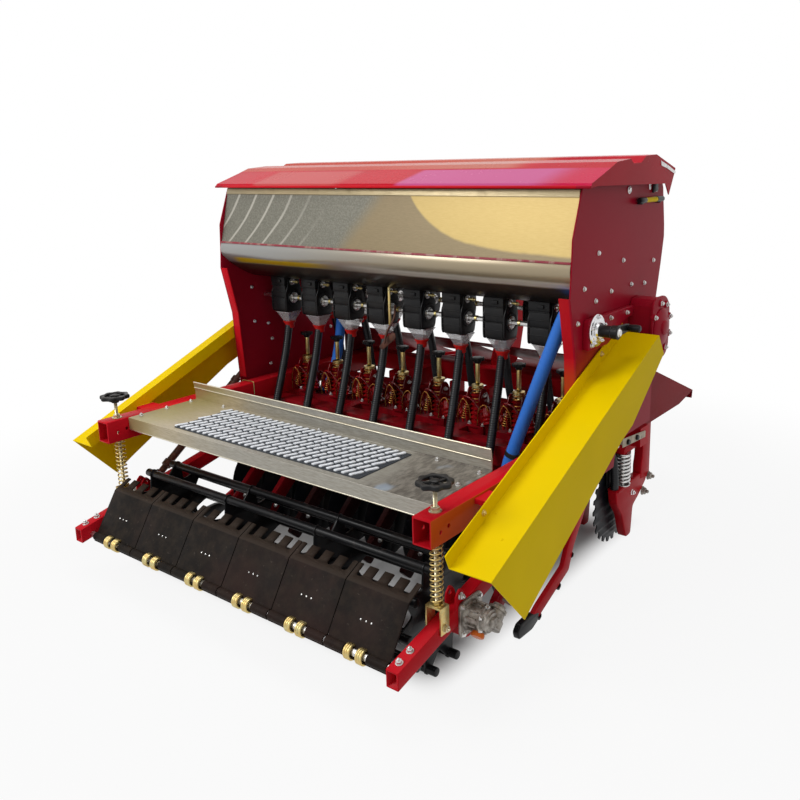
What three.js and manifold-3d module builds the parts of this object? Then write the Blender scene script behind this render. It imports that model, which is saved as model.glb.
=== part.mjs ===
// An eight-row seed drill with a double grain box, built in millimetres.
// X is to the right, Y is the direction of travel and Z is up. While the pieces are made, y = 0 is the
// rear edge of the platform and z = 0 is the ground. The finished group stands on z = 0 about its middle.
import * as THREE from "three";
import { mergeVertices } from "three/addons/utils/BufferGeometryUtils.js";
import Module from "manifold-3d";

const wasm = await Module();
wasm.setup();

// ---------- driving dimensions ----------
const SEAT = 0.3; // between faces that touch
const RUNNING = 0.5; // round a shaft that turns
const ROWS = 8;
const ROW_PITCH = 200;
const SIDE_BAND = 70; // how far a front disc runs beside its seed row
const LAST_ROW_X = ((ROWS - 1) / 2) * ROW_PITCH;

// box arms, which carry the platform and run on as the side members of the frame
const ARM_INNER_X = LAST_ROW_X + 70;
const ARM_WIDTH = 70;
const ARM_HEIGHT = 88;
const ARM_WALL = 6;
const ARM_REAR_Y = -93;
const DECK_Z = 610;

// platform
const DECK_DEPTH = 326;
const DECK_LIP = 50;
const DECK_UPSTAND = 75;
const SHEET = 4;

// beams of the main frame
const BEAM = 80;
const REAR_BEAM_Y = 750;
const TOOLBAR_Y = 895;
const FRONT_BEAM_Y = 1250;
const FRONT_TOOLBAR_Y = 1470;
const LONGITUDINAL_X = [-1.75 * ROW_PITCH, 1.25 * ROW_PITCH]; // between the rows, clear of their hoses
const LONGITUDINAL_WIDTH = 50;
const STRUT_X = 1.6 * ROW_PITCH;

// side panels and grain box
const PANEL_X = ARM_INNER_X + 125; // outer face
const PANEL = 5;
const PANEL_FLANGE = 45;
const BOX_REAR_Y = 619;
const BOX_FRONT_Y = 1401;
const BOX_FLOOR_Z = 1092;
const OUTLET_WIDTH = 105;
const SEED_OUTLET_Y = 853;
const FERTILISER_OUTLET_Y = 1152;
const DIVIDER_Y = 1002;
const FOLD_CLEARANCE = 2.8; // beside the floor, where the sloped sheets end

// lid
const LID_X = PANEL_X + 45;
const LID_HINGE_Y = 1392;
const LID_HINGE_Z = 1545;
const HINGE_ROD = 8;

// metering
const METER_WIDTH = 60;
const METER_DEPTH = 100;
const METER_BOTTOM_Z = 925;
const METER_SHAFT_Z = 992;
const METER_SHAFT = 10;
const TUBE = 18;
const FUNNEL_X = -26; // from the middle of the row

// seed openers
const OPENER_DISC = 175;
const OPENER_DISC_Y = 620;
const OPENER_DISC_X = -20;
const BOOT_WIDTH = 40;
const BOOT_TOP_Z = 332;
const BOOT_X = 15;
const BOOT_Y = 640;
const DISC = 6;
const DISC_SIDES = 16;
const HUB = 30;
const PIN = 12;
const ADJUSTER_Y = 935;
const ADJUSTER_TOP_Z = 812;

// front openers
const FRONT_DISC = 190;
const FRONT_DISC_Y = 1262;
const FRONT_TUBE_Y = 1190;
const FRONT_TUBE_Z = 262;

// roller and its arms
const ROLLER_Y = 105;
const ROLLER_PITCH = 190; // radius on which the bars lie
const ROLLER_BARS = 10;
const ROLLER_BAR = 15;
const ROLLER_BAR_SIDES = 6;
const ROLLER_SHAFT = 20;
const LIFT_X = ARM_INNER_X + 13; // inner face of a roller arm
const ROLLER_HALF = LIFT_X - 41;
const ROLLER_FLANGE_X = ROLLER_HALF - 37;
const LIFT_WIDTH = 45;
const LIFT_HEIGHT = 57;
const LIFT_MEETS_Y = REAR_BEAM_Y + 37; // where its top reaches the beam
const SCREW_Y = -28;
const SCREW = 8;
const YOKE_Z = 315;
const HANDWHEEL = 58;
const HANDWHEEL_Z = 698;

// scraper
const FLAPS = 6;
const FLAP_PITCH = (2 * (LIFT_X - 25)) / FLAPS;
const FLAP_WIDTH = FLAP_PITCH - 12;
const FLAP = 6;

// drives and their guards
const GUARD_X = PANEL_X + 5;
const GUARD_WIDTH = 142;
const DRIVE_X = GUARD_X + 18;
const DRIVE = 16;
const CASE_Y = 1078;
const CASE_DEPTH = 152;
const CASE_WIDTH = 120;

// hood and headstock
const HITCH_Y = 1960;
const HOOD_TIP_Y = HITCH_Y + 16;
const HITCH_Z = 520;
const HITCH_HALF = 412;
const HITCH_GAP = 60;
const MAST_Y = 1800;
const MAST_Z = 1130;

// ---------- values that follow from them ----------
const ARM_OUTER_X = ARM_INNER_X + ARM_WIDTH;
const ARM_BOTTOM_Z = DECK_Z - ARM_HEIGHT;
const BEAM_TOP_Z = ARM_BOTTOM_Z - SEAT;
const BEAM_BOTTOM_Z = BEAM_TOP_Z - BEAM;
const PANEL_INNER_X = PANEL_X - PANEL;
const BETWEEN_PANELS = PANEL_INNER_X - SEAT;
const ROLLER_Z =
  ROLLER_PITCH * Math.cos(Math.PI / ROLLER_BARS) +
  ROLLER_BAR * Math.cos(Math.PI / ROLLER_BAR_SIDES);
const DISC_APOTHEM = Math.cos(Math.PI / DISC_SIDES);
// A place round the roller, in shares of the cage's outer radius.
const aroundRoller = (back, up) => [
  ROLLER_Y - back * (ROLLER_PITCH + ROLLER_BAR),
  ROLLER_Z + up * (ROLLER_PITCH + ROLLER_BAR),
];
const [SCRAPER_Y, SCRAPER_Z] = aroundRoller(1.463, -0.091);
const LIFT_TIP_Y = SCRAPER_Y - 46;
const LIFT_TIP_Z = SCRAPER_Z + 35;
const LIFT_OUTER_X = LIFT_X + LIFT_WIDTH;
const rowX = (row) => row * ROW_PITCH - LAST_ROW_X;
const everyRow = (make) => Array.from({ length: ROWS }, (_, row) => make(rowX(row)));
const LIFT_SLOPE = (BEAM_BOTTOM_Z - SEAT - LIFT_TIP_Z) / (LIFT_MEETS_Y - LIFT_TIP_Y);
const liftTop = (y) => LIFT_TIP_Z + LIFT_SLOPE * (y - LIFT_TIP_Y);

// ---------- materials ----------
const finish = (color, roughness, metalness) =>
  new THREE.MeshStandardMaterial({ color, roughness, metalness });
const red = finish(0xb3121c, 0.35, 0.1);
const yellow = finish(0xe8cf00, 0.45, 0.1);
const stainless = finish(0xb9b4a6, 0.3, 0.9);
const darkSteel = finish(0x3a342f, 0.6, 0.7);
const blackPaint = finish(0x17181a, 0.5, 0.1);
const blackPlastic = finish(0x141416, 0.45, 0.0);
const hoseRubber = finish(0x1c1d20, 0.6, 0.0);
const zincGold = finish(0xb08d3c, 0.35, 0.9);
const aluminium = finish(0xb4b7ba, 0.4, 0.9);
const bluePlastic = finish(0x2f6fe0, 0.4, 0.0);
const brownSteel = finish(0x6b3b2a, 0.6, 0.4);
const discSteel = finish(0x24262a, 0.45, 0.7);

// ---------- solids ----------
function solidOf(geometry) {
  const bare = geometry.index ? geometry.toNonIndexed() : geometry;
  bare.deleteAttribute("normal");
  bare.deleteAttribute("uv");
  const merged = mergeVertices(bare, 1e-3);
  return new wasm.Manifold(
    new wasm.Mesh({
      numProp: 3,
      vertProperties: merged.attributes.position.array,
      triVerts: new Uint32Array(merged.index.array),
    }),
  );
}

function geometryOf(solid) {
  const mesh = solid.getMesh();
  return new THREE.BufferGeometry()
    .setAttribute("position", new THREE.BufferAttribute(mesh.vertProperties, 3))
    .setIndex(new THREE.BufferAttribute(mesh.triVerts, 1));
}

const join = (...solids) => solids.reduce((all, next) => all.add(next));
const cut = (solid, ...cutters) => cutters.reduce((left, next) => left.subtract(next), solid);

// A box between two values on each axis.
function box([x0, x1], [y0, y1], [z0, z1]) {
  const geometry = new THREE.BoxGeometry(x1 - x0, y1 - y0, z1 - z0);
  geometry.translate((x0 + x1) / 2, (y0 + y1) / 2, (z0 + z1) / 2);
  return solidOf(geometry);
}

const outlineOf = (points) => new THREE.Shape(points.map(([a, b]) => new THREE.Vector2(a, b)));

// An outline in Y and Z, as thick as x1 - x0.
function plateX(points, [x0, x1]) {
  const geometry = new THREE.ExtrudeGeometry(outlineOf(points), {
    depth: x1 - x0,
    bevelEnabled: false,
  });
  const turn = new THREE.Matrix4().makeBasis(
    new THREE.Vector3(0, 1, 0),
    new THREE.Vector3(0, 0, 1),
    new THREE.Vector3(1, 0, 0),
  );
  geometry.applyMatrix4(turn);
  geometry.translate(x0, 0, 0);
  return solidOf(geometry);
}

// The outline of a folded sheet that runs along a line of points, its thickness to the left of the line.
function foldedOutline(points, thickness) {
  const line = points.map(([a, b]) => new THREE.Vector2(a, b));
  const left = line.map((point, i) => {
    const before = line[Math.max(i - 1, 0)];
    const after = line[Math.min(i + 1, line.length - 1)];
    const into = point.clone().sub(i ? before : point).normalize();
    const out = after.clone().sub(i < line.length - 1 ? point : after).normalize();
    const first = i ? into : out;
    const second = i < line.length - 1 ? out : into;
    const normal = new THREE.Vector2(-first.y - second.y, first.x + second.x).normalize();
    const share = normal.dot(new THREE.Vector2(-first.y, first.x));
    return point.clone().addScaledVector(normal, thickness / share);
  });
  return [...line, ...left.reverse()].map((v) => [v.x, v.y]);
}

const foldedSheet = (points, thickness, ends) => plateX(foldedOutline(points, thickness), ends);

// A round bar between two points, with a flat side down where it lies level.
function bar(from, to, radius, sides = 12, endRadius = radius, phase = Math.PI / sides) {
  const a = new THREE.Vector3(...from);
  const b = new THREE.Vector3(...to);
  const geometry = new THREE.CylinderGeometry(endRadius, radius, a.distanceTo(b), sides);
  geometry.rotateY(phase);
  const turn = new THREE.Quaternion().setFromUnitVectors(
    new THREE.Vector3(0, 1, 0),
    b.clone().sub(a).normalize(),
  );
  geometry.applyQuaternion(turn);
  geometry.translate(...a.add(b).multiplyScalar(0.5));
  return solidOf(geometry);
}

const barX = (radius, [x0, x1], [y, z], sides) => bar([x0, y, z], [x1, y, z], radius, sides);
const barZ = (radius, [z0, z1], [x, y], sides) => bar([x, y, z0], [x, y, z1], radius, sides);

// The cutter for a hole that leaves the clearance round a bar, its flats against the bar's edges.
function bore(from, to, radius, clearance, sides = 12) {
  const across = (radius + clearance) / Math.cos(Math.PI / sides);
  return bar(from, to, across, sides, across, 0);
}

// A tube along a smooth line through points.
function tubeAlong(points, radius, steps, sides = 6) {
  const section = new THREE.Shape();
  for (let i = 0; i < sides; i++) {
    const angle = ((i + 0.5) * 2 * Math.PI) / sides;
    const place = [radius * Math.cos(angle), radius * Math.sin(angle)];
    if (i) section.lineTo(...place);
    else section.moveTo(...place);
  }
  const path = new THREE.CatmullRomCurve3(points.map((p) => new THREE.Vector3(...p)));
  return solidOf(
    new THREE.ExtrudeGeometry(section, { steps, extrudePath: path, bevelEnabled: false }),
  );
}

const machine = new THREE.Group();

function place(name, solid, material, x = 0, mirrored = false) {
  const mesh = new THREE.Mesh(geometryOf(solid), material);
  mesh.name = name;
  mesh.position.x = x;
  mesh.scale.x = mirrored ? -1 : 1;
  machine.add(mesh);
}

// The same piece on the right, and mirrored on the left.
function placePair(name, solid, material) {
  place(name + "_right", solid, material);
  place(name + "_left", solid, material, 0, true);
}

// ---------- frame ----------
function mainFrame() {
  const beam = (y) =>
    box([-BETWEEN_PANELS, BETWEEN_PANELS], [y, y + BEAM], [BEAM_BOTTOM_Z, BEAM_TOP_Z]);
  const across = (x) => [x - LONGITUDINAL_WIDTH / 2, x + LONGITUDINAL_WIDTH / 2];
  const longitudinal = (x) =>
    box(across(x), [REAR_BEAM_Y, FRONT_BEAM_Y + BEAM], [BEAM_BOTTOM_Z, BEAM_TOP_Z]);
  const strut = (x) =>
    box(across(x), [FRONT_BEAM_Y + 10, FRONT_TOOLBAR_Y - SEAT], [BEAM_TOP_Z - 1, DECK_Z - 10]);
  return join(
    beam(REAR_BEAM_Y),
    beam(TOOLBAR_Y),
    beam(FRONT_BEAM_Y),
    ...LONGITUDINAL_X.map(longitudinal),
    strut(-STRUT_X),
    strut(STRUT_X),
  );
}

function platformArm() {
  const end = FRONT_TOOLBAR_Y - SEAT;
  const tube = cut(
    box([ARM_INNER_X, ARM_OUTER_X], [ARM_REAR_Y, end], [ARM_BOTTOM_Z, DECK_Z]),
    box(
      [ARM_INNER_X + ARM_WALL, ARM_OUTER_X - ARM_WALL],
      [ARM_REAR_Y - 1, end + 1],
      [ARM_BOTTOM_Z + ARM_WALL, DECK_Z - ARM_WALL],
    ),
  );
  const x = LIFT_X + LIFT_WIDTH / 2;
  return cut(tube, bore([x, SCREW_Y, ARM_BOTTOM_Z - 1], [x, SCREW_Y, DECK_Z + 1], SCREW, RUNNING, 8));
}

function platform() {
  const crease = DECK_UPSTAND / 2;
  return foldedSheet(
    [
      [DECK_DEPTH - 6, DECK_Z + DECK_UPSTAND],
      [DECK_DEPTH, DECK_Z + crease],
      [DECK_DEPTH, DECK_Z],
      [0, DECK_Z],
      [0, DECK_Z - DECK_LIP],
    ],
    SHEET,
    [-ARM_INNER_X + SEAT, ARM_INNER_X - SEAT],
  );
}

// ---------- side panels and grain box ----------
const PANEL_REAR_EDGE = [
  [682, BEAM_BOTTOM_Z],
  [652, 932],
  [605, 1144],
  [611, 1217],
  [617, 1340],
  [676, 1500],
];

function sidePanel() {
  const outline = [
    ...PANEL_REAR_EDGE,
    [790, 1545],
    [1000, 1566],
    [1240, 1566],
    [1340, 1540],
    [1372, 1490],
    [1398, 1343],
    [BOX_FRONT_Y, 1295],
    [1377, 1189],
    [1341, 1053],
    [FRONT_BEAM_Y + BEAM, 540],
    [1010, 540],
    [985, BEAM_BOTTOM_Z],
  ];
  const flange = foldedSheet(PANEL_REAR_EDGE.slice(0, 3).reverse(), PANEL, [
    PANEL_X - PANEL_FLANGE,
    PANEL_X,
  ]);
  const clearOfArm = box(
    [ARM_INNER_X, PANEL_INNER_X],
    [0, REAR_BEAM_Y],
    [BEAM_BOTTOM_Z - 1, DECK_Z + 10],
  );
  return join(plateX(outline, [PANEL_INNER_X, PANEL_X]), cut(flange, clearOfArm));
}

const SEED_OUTLET = [SEED_OUTLET_Y - OUTLET_WIDTH / 2, SEED_OUTLET_Y + OUTLET_WIDTH / 2];
const FERTILISER_OUTLET = [
  FERTILISER_OUTLET_Y - OUTLET_WIDTH / 2,
  FERTILISER_OUTLET_Y + OUTLET_WIDTH / 2,
];

function hopperRearPanel() {
  return foldedSheet(
    [
      [676, 1500],
      [BOX_REAR_Y, 1262],
      [BOX_REAR_Y, 1220],
      [SEED_OUTLET[0] - FOLD_CLEARANCE, BOX_FLOOR_Z],
    ],
    SHEET,
    [-BETWEEN_PANELS, BETWEEN_PANELS],
  );
}

function hopperFrontPanel() {
  const sheet = foldedSheet(
    [
      [FERTILISER_OUTLET[1] + FOLD_CLEARANCE, BOX_FLOOR_Z],
      [1373, 1200],
      [BOX_FRONT_Y - SHEET, 1295],
      [1394, 1343],
      [1380, 1500],
    ],
    SHEET,
    [-BETWEEN_PANELS, BETWEEN_PANELS],
  );
  const lug = (x) => box([x - 15, x + 15], [1373, LID_HINGE_Y + 8], [1485, LID_HINGE_Z + 8]);
  const reach = LAST_ROW_X + 20;
  const rod = barX(HINGE_ROD, [-reach, reach], [LID_HINGE_Y, LID_HINGE_Z], 8);
  return join(sheet, rod, lug(120 - reach), lug(0), lug(reach - 120));
}

function hopperFloor() {
  const top = BOX_FLOOR_Z + SHEET;
  const ridge = DIVIDER_Y - SHEET / 2;
  return join(
    foldedSheet(
      [
        [SEED_OUTLET[0], top - SHEET],
        [SEED_OUTLET[1], top - SHEET],
        [DIVIDER_Y, 1240],
        [FERTILISER_OUTLET[0], top - SHEET],
        [FERTILISER_OUTLET[1], top - SHEET],
      ],
      SHEET,
      [-BETWEEN_PANELS, BETWEEN_PANELS],
    ),
    box([-BETWEEN_PANELS, BETWEEN_PANELS], [ridge, ridge + SHEET], [1240, 1450]),
  );
}

function lid() {
  const top = [
    [1374, 1562],
    [1238, 1598],
    [1181, 1613],
    [1084, 1608],
    [1043, 1584],
    [977, 1581],
    [951, 1597],
    [843, 1587],
    [788, 1566],
    [656, 1520],
    [645, 1505],
  ];
  const sheet = foldedSheet(top, SHEET, [-LID_X, LID_X]);
  const skirt = (x) =>
    plateX([...top, [660, 1505], [700, 1510], [1280, 1505], [1316, 1462], [1360, 1535]].reverse(), [
      x,
      x + SHEET,
    ]);
  const leaf = (x) =>
    cut(
      box([x - 30, x + 30], [1340, LID_HINGE_Y + 12], [LID_HINGE_Z - 12, LID_HINGE_Z + 12]),
      bore(
        [x - 31, LID_HINGE_Y, LID_HINGE_Z],
        [x + 31, LID_HINGE_Y, LID_HINGE_Z],
        HINGE_ROD,
        RUNNING,
        8,
      ),
    );
  const tie = (x) => box([x - 30, x + 30], [1340, 1370], [LID_HINGE_Z + 11, LID_HINGE_Z + 18]);
  const outermost = LAST_ROW_X - 20;
  const leaves = [-outermost, -80, 80, outermost].map((x) => join(leaf(x), tie(x)));
  return join(sheet, skirt(-LID_X), skirt(LID_X - SHEET), ...leaves);
}

// ---------- metering ----------
function meter(x, y) {
  const [inner, outer] = [x + FUNNEL_X - METER_WIDTH / 2, x + FUNNEL_X + METER_WIDTH / 2];
  const depth = [y - METER_DEPTH / 2, y + METER_DEPTH / 2];
  return join(
    box([inner, outer], depth, [METER_BOTTOM_Z, BOX_FLOOR_Z - SEAT]),
    barX(25, [outer - 1, outer + 22], [y, METER_SHAFT_Z], 6),
  );
}

function meterBank(y) {
  const shaft = barX(METER_SHAFT, [-BETWEEN_PANELS, BETWEEN_PANELS], [y, METER_SHAFT_Z], 6);
  return join(shaft, ...everyRow((x) => meter(x, y)));
}

// A funnel under a meter, its clamp and the hose that it feeds, for a row whose middle is at rowMiddle.
function dropTube(rowMiddle, y, top, route, steps) {
  const x = rowMiddle + FUNNEL_X;
  const line = [[x, y, top - 50], ...route.map(([a, b, c]) => [rowMiddle + a, b, c])];
  return join(
    bar([x, y, top - 55], [x, y, top], TUBE + 2, 6, METER_WIDTH / 2),
    tubeAlong(line, TUBE, steps),
  );
}

const SEED_ROUTE = [
  [-20, 812, 730],
  [0, 731, 545],
  [12, 668, 400],
  [BOOT_X, BOOT_Y, BOOT_TOP_Z + 30],
  [BOOT_X, BOOT_Y, BOOT_TOP_Z + SEAT],
];
const FERTILISER_ROUTE = [
  [0, 1155, 760],
  [12, 1165, 620],
  [38, 1178, 500],
  [SIDE_BAND + 26, 1190, 400],
  [SIDE_BAND + 39, FRONT_TUBE_Y, FRONT_TUBE_Z + 45],
  [SIDE_BAND + 39, FRONT_TUBE_Y, FRONT_TUBE_Z],
];

function fertiliserMeterBank() {
  const tube = (x) => dropTube(x, FERTILISER_OUTLET_Y, METER_BOTTOM_Z + 1, FERTILISER_ROUTE, 7);
  return join(meterBank(FERTILISER_OUTLET_Y), ...everyRow(tube));
}

// The blue pipe that empties the box, held at its foot by a saddle on the rear beam.
function drainPipe() {
  const foot = LAST_ROW_X - 108;
  const line = [
    [BETWEEN_PANELS - 28, 700, 1110],
    [BETWEEN_PANELS - 68, 700, 1071],
    [foot + 30, 700, 549],
    [foot + 6, 700, 480],
    [foot, 700, 445],
  ];
  const saddle = box([foot - 26, foot + 26], [715, REAR_BEAM_Y - SEAT], [455, 500]);
  return join(tubeAlong(line, 25, 10), saddle);
}

// ---------- seed openers ----------
function seedOpener(x) {
  const arm = plateX(
    [
      [894, BEAM_BOTTOM_Z - SEAT],
      [860, BEAM_BOTTOM_Z - 17],
      [560, 300],
      [350, 112],
      [395, 68],
      [600, 245],
      [900, 365],
      [975, BEAM_BOTTOM_Z - 17],
      [975, BEAM_BOTTOM_Z - SEAT],
    ],
    [x + 35, x + 60],
  );
  const boot = plateX(
    [
      [612, BOOT_TOP_Z],
      [560, 120],
      [540, 40],
      [590, 40],
      [640, 160],
      [668, BOOT_TOP_Z],
    ],
    [x + BOOT_X - BOOT_WIDTH / 2, x + BOOT_X + BOOT_WIDTH / 2 + 1],
  );
  const bracket = box(
    [x - 25, x + 60],
    [TOOLBAR_Y - 12, TOOLBAR_Y + BEAM + 5],
    [BEAM_TOP_Z + SEAT, BEAM_TOP_Z + 12],
  );
  const strap = box(
    [x + 35, x + 60],
    [TOOLBAR_Y - 12, TOOLBAR_Y - SEAT],
    [BEAM_BOTTOM_Z - 10, BEAM_TOP_Z + 12],
  );
  const at = [x, ADJUSTER_Y];
  return join(
    arm,
    boot,
    bracket,
    strap,
    barX(PIN, [x - 42, x], [OPENER_DISC_Y, OPENER_DISC * DISC_APOTHEM], 8),
    barZ(9, [BEAM_TOP_Z + 10, ADJUSTER_TOP_Z - 10], at, 6),
    barZ(18, [BEAM_TOP_Z + 40, 680], at, 6),
    barZ(25, [679, 690], at, 6),
    barZ(27, [ADJUSTER_TOP_Z - 24, ADJUSTER_TOP_Z], at, 6),
  );
}

// The openers are bolted to one mounting strip under their toolbar.
function seedOpenerGang() {
  const half = LAST_ROW_X + 60;
  const strip = box(
    [-half, half],
    [TOOLBAR_Y - 12, TOOLBAR_Y + BEAM],
    [BEAM_BOTTOM_Z - 15, BEAM_BOTTOM_Z - SEAT],
  );
  return join(strip, ...everyRow(seedOpener));
}

// A disc that turns on a pin, standing on a flat of its outline.
function turningDisc(radius, y, [hub0, hub1], x) {
  const z = radius * DISC_APOTHEM;
  return cut(
    join(
      barX(radius, [x - DISC / 2, x + DISC / 2], [y, z], DISC_SIDES),
      barX(HUB, [hub0, hub1], [y, z], 8),
    ),
    bore([hub0 - 1, y, z], [hub1 + 1, y, z], PIN, RUNNING, 8),
  );
}

// ---------- front openers ----------
function frontOpener(rowMiddle) {
  const x = rowMiddle + SIDE_BAND;
  const seat = FRONT_TUBE_Z - SEAT;
  const bracket = BEAM_BOTTOM_Z - 4;
  const arm = plateX(
    [
      [1495, 262],
      [1225, seat],
      [FRONT_TUBE_Y - 25, seat],
      [FRONT_TUBE_Y - 12, 200],
      [1235, 130],
      [1280, 15],
      [1335, 15],
      [1350, 140],
      [1440, 165],
      [1500, 215],
    ],
    [x + 20, x + 58],
  );
  return join(
    arm,
    box([x + 20, x + 60], [FRONT_TOOLBAR_Y, FRONT_TOOLBAR_Y + 40], [200, BEAM_TOP_Z + 5]),
    box([x + 15, x + 63], [FRONT_DISC_Y - 37, FRONT_TOOLBAR_Y + 5], [bracket - 38, bracket]),
    barZ(22, [255, bracket - 33], [x + 39, FRONT_DISC_Y - 10], 8),
    barX(PIN, [x - 24, x + 25], [FRONT_DISC_Y, FRONT_DISC * DISC_APOTHEM], 8),
  );
}

function frontOpenerGang() {
  const toolbar = box(
    [-ARM_OUTER_X + 5, ARM_OUTER_X - 5],
    [FRONT_TOOLBAR_Y, FRONT_TOOLBAR_Y + BEAM],
    [BEAM_TOP_Z + SEAT, DECK_Z],
  );
  return join(toolbar, ...everyRow(frontOpener));
}

// ---------- roller ----------
function rollerFlange(x) {
  const points = [];
  for (let i = 0; i < ROLLER_BARS; i++) {
    const lobe = ((i + 0.5) * 2 * Math.PI) / ROLLER_BARS;
    for (const [turn, radius] of [
      [-0.09, ROLLER_PITCH],
      [0.09, ROLLER_PITCH],
      [Math.PI / ROLLER_BARS, ROLLER_PITCH - 55],
    ])
      points.push([
        ROLLER_Y + radius * Math.sin(lobe + turn),
        ROLLER_Z - radius * Math.cos(lobe + turn),
      ]);
  }
  return plateX(points, [x - 4, x + 4]);
}

function roller() {
  const bars = Array.from({ length: ROLLER_BARS }, (_, i) => {
    const angle = ((i + 0.5) * 2 * Math.PI) / ROLLER_BARS;
    const place = [
      ROLLER_Y + ROLLER_PITCH * Math.sin(angle),
      ROLLER_Z - ROLLER_PITCH * Math.cos(angle),
    ];
    return barX(ROLLER_BAR, [-ROLLER_HALF, ROLLER_HALF], place, ROLLER_BAR_SIDES);
  });
  const shaftHalf = LIFT_OUTER_X + 10;
  const flanges = [-1, -1 / 3, 1 / 3, 1].map((share) => rollerFlange(share * ROLLER_FLANGE_X));
  return join(barX(ROLLER_SHAFT, [-shaftHalf, shaftHalf], [ROLLER_Y, ROLLER_Z], 12), ...flanges, ...bars);
}

function rollerArm() {
  const front = REAR_BEAM_Y + BEAM;
  const top = BEAM_BOTTOM_Z - SEAT;
  const arm = plateX(
    [
      [LIFT_TIP_Y, LIFT_TIP_Z],
      [LIFT_TIP_Y, LIFT_TIP_Z - LIFT_HEIGHT],
      [front, liftTop(front) - LIFT_HEIGHT],
      [front, top],
      [LIFT_MEETS_Y, top],
    ],
    [LIFT_X, LIFT_OUTER_X],
  );
  const ear = box([LIFT_X, LIFT_OUTER_X], [ROLLER_Y - 45, ROLLER_Y + 45], [ROLLER_Z - 45, liftTop(ROLLER_Y) - 20]);
  const hole = bore(
    [LIFT_X - 1, ROLLER_Y, ROLLER_Z],
    [LIFT_OUTER_X + 1, ROLLER_Y, ROLLER_Z],
    ROLLER_SHAFT,
    RUNNING,
  );
  return cut(join(arm, ear), hole);
}

const SCREW_X = LIFT_X + LIFT_WIDTH / 2;

function depthScrew() {
  const cheek = (x) => box([x, x + 6], [SCREW_Y - 22, SCREW_Y + 22], [232, YOKE_Z]);
  return join(
    cheek(LIFT_X - SEAT - 6),
    cheek(LIFT_OUTER_X + SEAT),
    box([LIFT_X - SEAT - 6, LIFT_OUTER_X + SEAT + 6], [SCREW_Y - 22, SCREW_Y + 22], [YOKE_Z - 6, YOKE_Z]),
    barZ(SCREW, [YOKE_Z - 3, HANDWHEEL_Z], [SCREW_X, SCREW_Y], 8),
    barZ(20, [HANDWHEEL_Z - 45, HANDWHEEL_Z], [SCREW_X, SCREW_Y], 8),
    barZ(HANDWHEEL, [HANDWHEEL_Z - 10, HANDWHEEL_Z + 10], [SCREW_X, SCREW_Y], 16),
  );
}

function depthSpring() {
  const [z0, z1] = [YOKE_Z + SEAT, ARM_BOTTOM_Z - SEAT];
  return cut(
    barZ(21, [z0, z1], [SCREW_X, SCREW_Y], 12),
    barZ(SCREW + 3, [z0 - 1, z1 + 1], [SCREW_X, SCREW_Y], 8),
  );
}

function scraper() {
  const half = LIFT_X - SEAT;
  const comb = aroundRoller(0.678, 0.821);
  const crease = aroundRoller(0.971, 0.675);
  const foot = aroundRoller(1.498, -0.179);
  const flaps = Array.from({ length: FLAPS }, (_, i) => {
    const middle = (i - (FLAPS - 1) / 2) * FLAP_PITCH;
    const notches = [-90, -30, 30, 90].map((x) =>
      box([middle + x - 12, middle + x + 12], [comb[0] - 26, comb[0] + 34], [comb[1] - 32, comb[1] + 38]),
    );
    const sheet = foldedSheet([foot, crease, comb], FLAP, [
      middle - FLAP_WIDTH / 2,
      middle + FLAP_WIDTH / 2,
    ]);
    return cut(sheet, ...notches);
  });
  return join(barX(12, [-half, half], [SCRAPER_Y, SCRAPER_Z], 6), ...flaps);
}

// ---------- drives ----------
function gearbox() {
  const inner = LIFT_OUTER_X + SEAT;
  const body = join(
    box([inner, inner + 12], [ROLLER_Y - 75, ROLLER_Y + 75], [ROLLER_Z - 40, ROLLER_Z + 110]),
    barX(52, [inner + 5, DRIVE_X + 22], [ROLLER_Y, ROLLER_Z + 34], 12),
    box([DRIVE_X - 26, DRIVE_X + 22], [ROLLER_Y, ROLLER_Y + 85], [ROLLER_Z + 20, ROLLER_Z + 90]),
  );
  return cut(
    body,
    bore([inner - 1, ROLLER_Y, ROLLER_Z], [inner + 16, ROLLER_Y, ROLLER_Z], ROLLER_SHAFT, RUNNING),
  );
}

function driveShaft() {
  const start = ROLLER_Y + 85 + SEAT;
  const end = CASE_Y - SEAT;
  const startZ = ROLLER_Z + 60;
  const endZ = 905;
  const slope = (endZ - startZ) / (end - start);
  const whole = bar(
    [DRIVE_X, start - 40, startZ - 40 * slope],
    [DRIVE_X, end + 40, endZ + 40 * slope],
    DRIVE,
    8,
  );
  const reach = [DRIVE_X - 100, DRIVE_X + 100];
  return cut(
    whole,
    box(reach, [start - 200, start], [0, DECK_Z]),
    box(reach, [end, end + 200], [DECK_Z, 1200]),
  );
}

function transmissionCase() {
  const inner = PANEL_X + SEAT;
  return join(
    plateX(
      [
        [CASE_Y, 880],
        [CASE_Y + 30, 858],
        [CASE_Y + CASE_DEPTH - 30, 858],
        [CASE_Y + CASE_DEPTH, 890],
        [CASE_Y + CASE_DEPTH, 1050],
        [CASE_Y + CASE_DEPTH - 40, 1085],
        [CASE_Y + 20, 1085],
        [CASE_Y, 1065],
      ],
      [inner, inner + CASE_WIDTH],
    ),
    plateX(
      [
        [700, 952],
        [856, 952],
        [1004, 1022],
        [CASE_Y + 1, 1030],
        [CASE_Y + 1, 1062],
        [700, 1062],
      ],
      [inner, inner + 22],
    ),
  );
}

function crank() {
  const [y, z] = [755, 1020];
  const inner = PANEL_X + SEAT + 22 + SEAT;
  return join(
    barX(58, [inner, inner + 12], [y, z], 16),
    barX(20, [inner + 10, inner + 90], [y, z], 8),
    box([inner + 60, inner + 76], [y - 8, y + 110], [z - 12, z + 12]),
    barX(13, [inner + 60, inner + 120], [y + 100, z], 8),
  );
}

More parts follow.
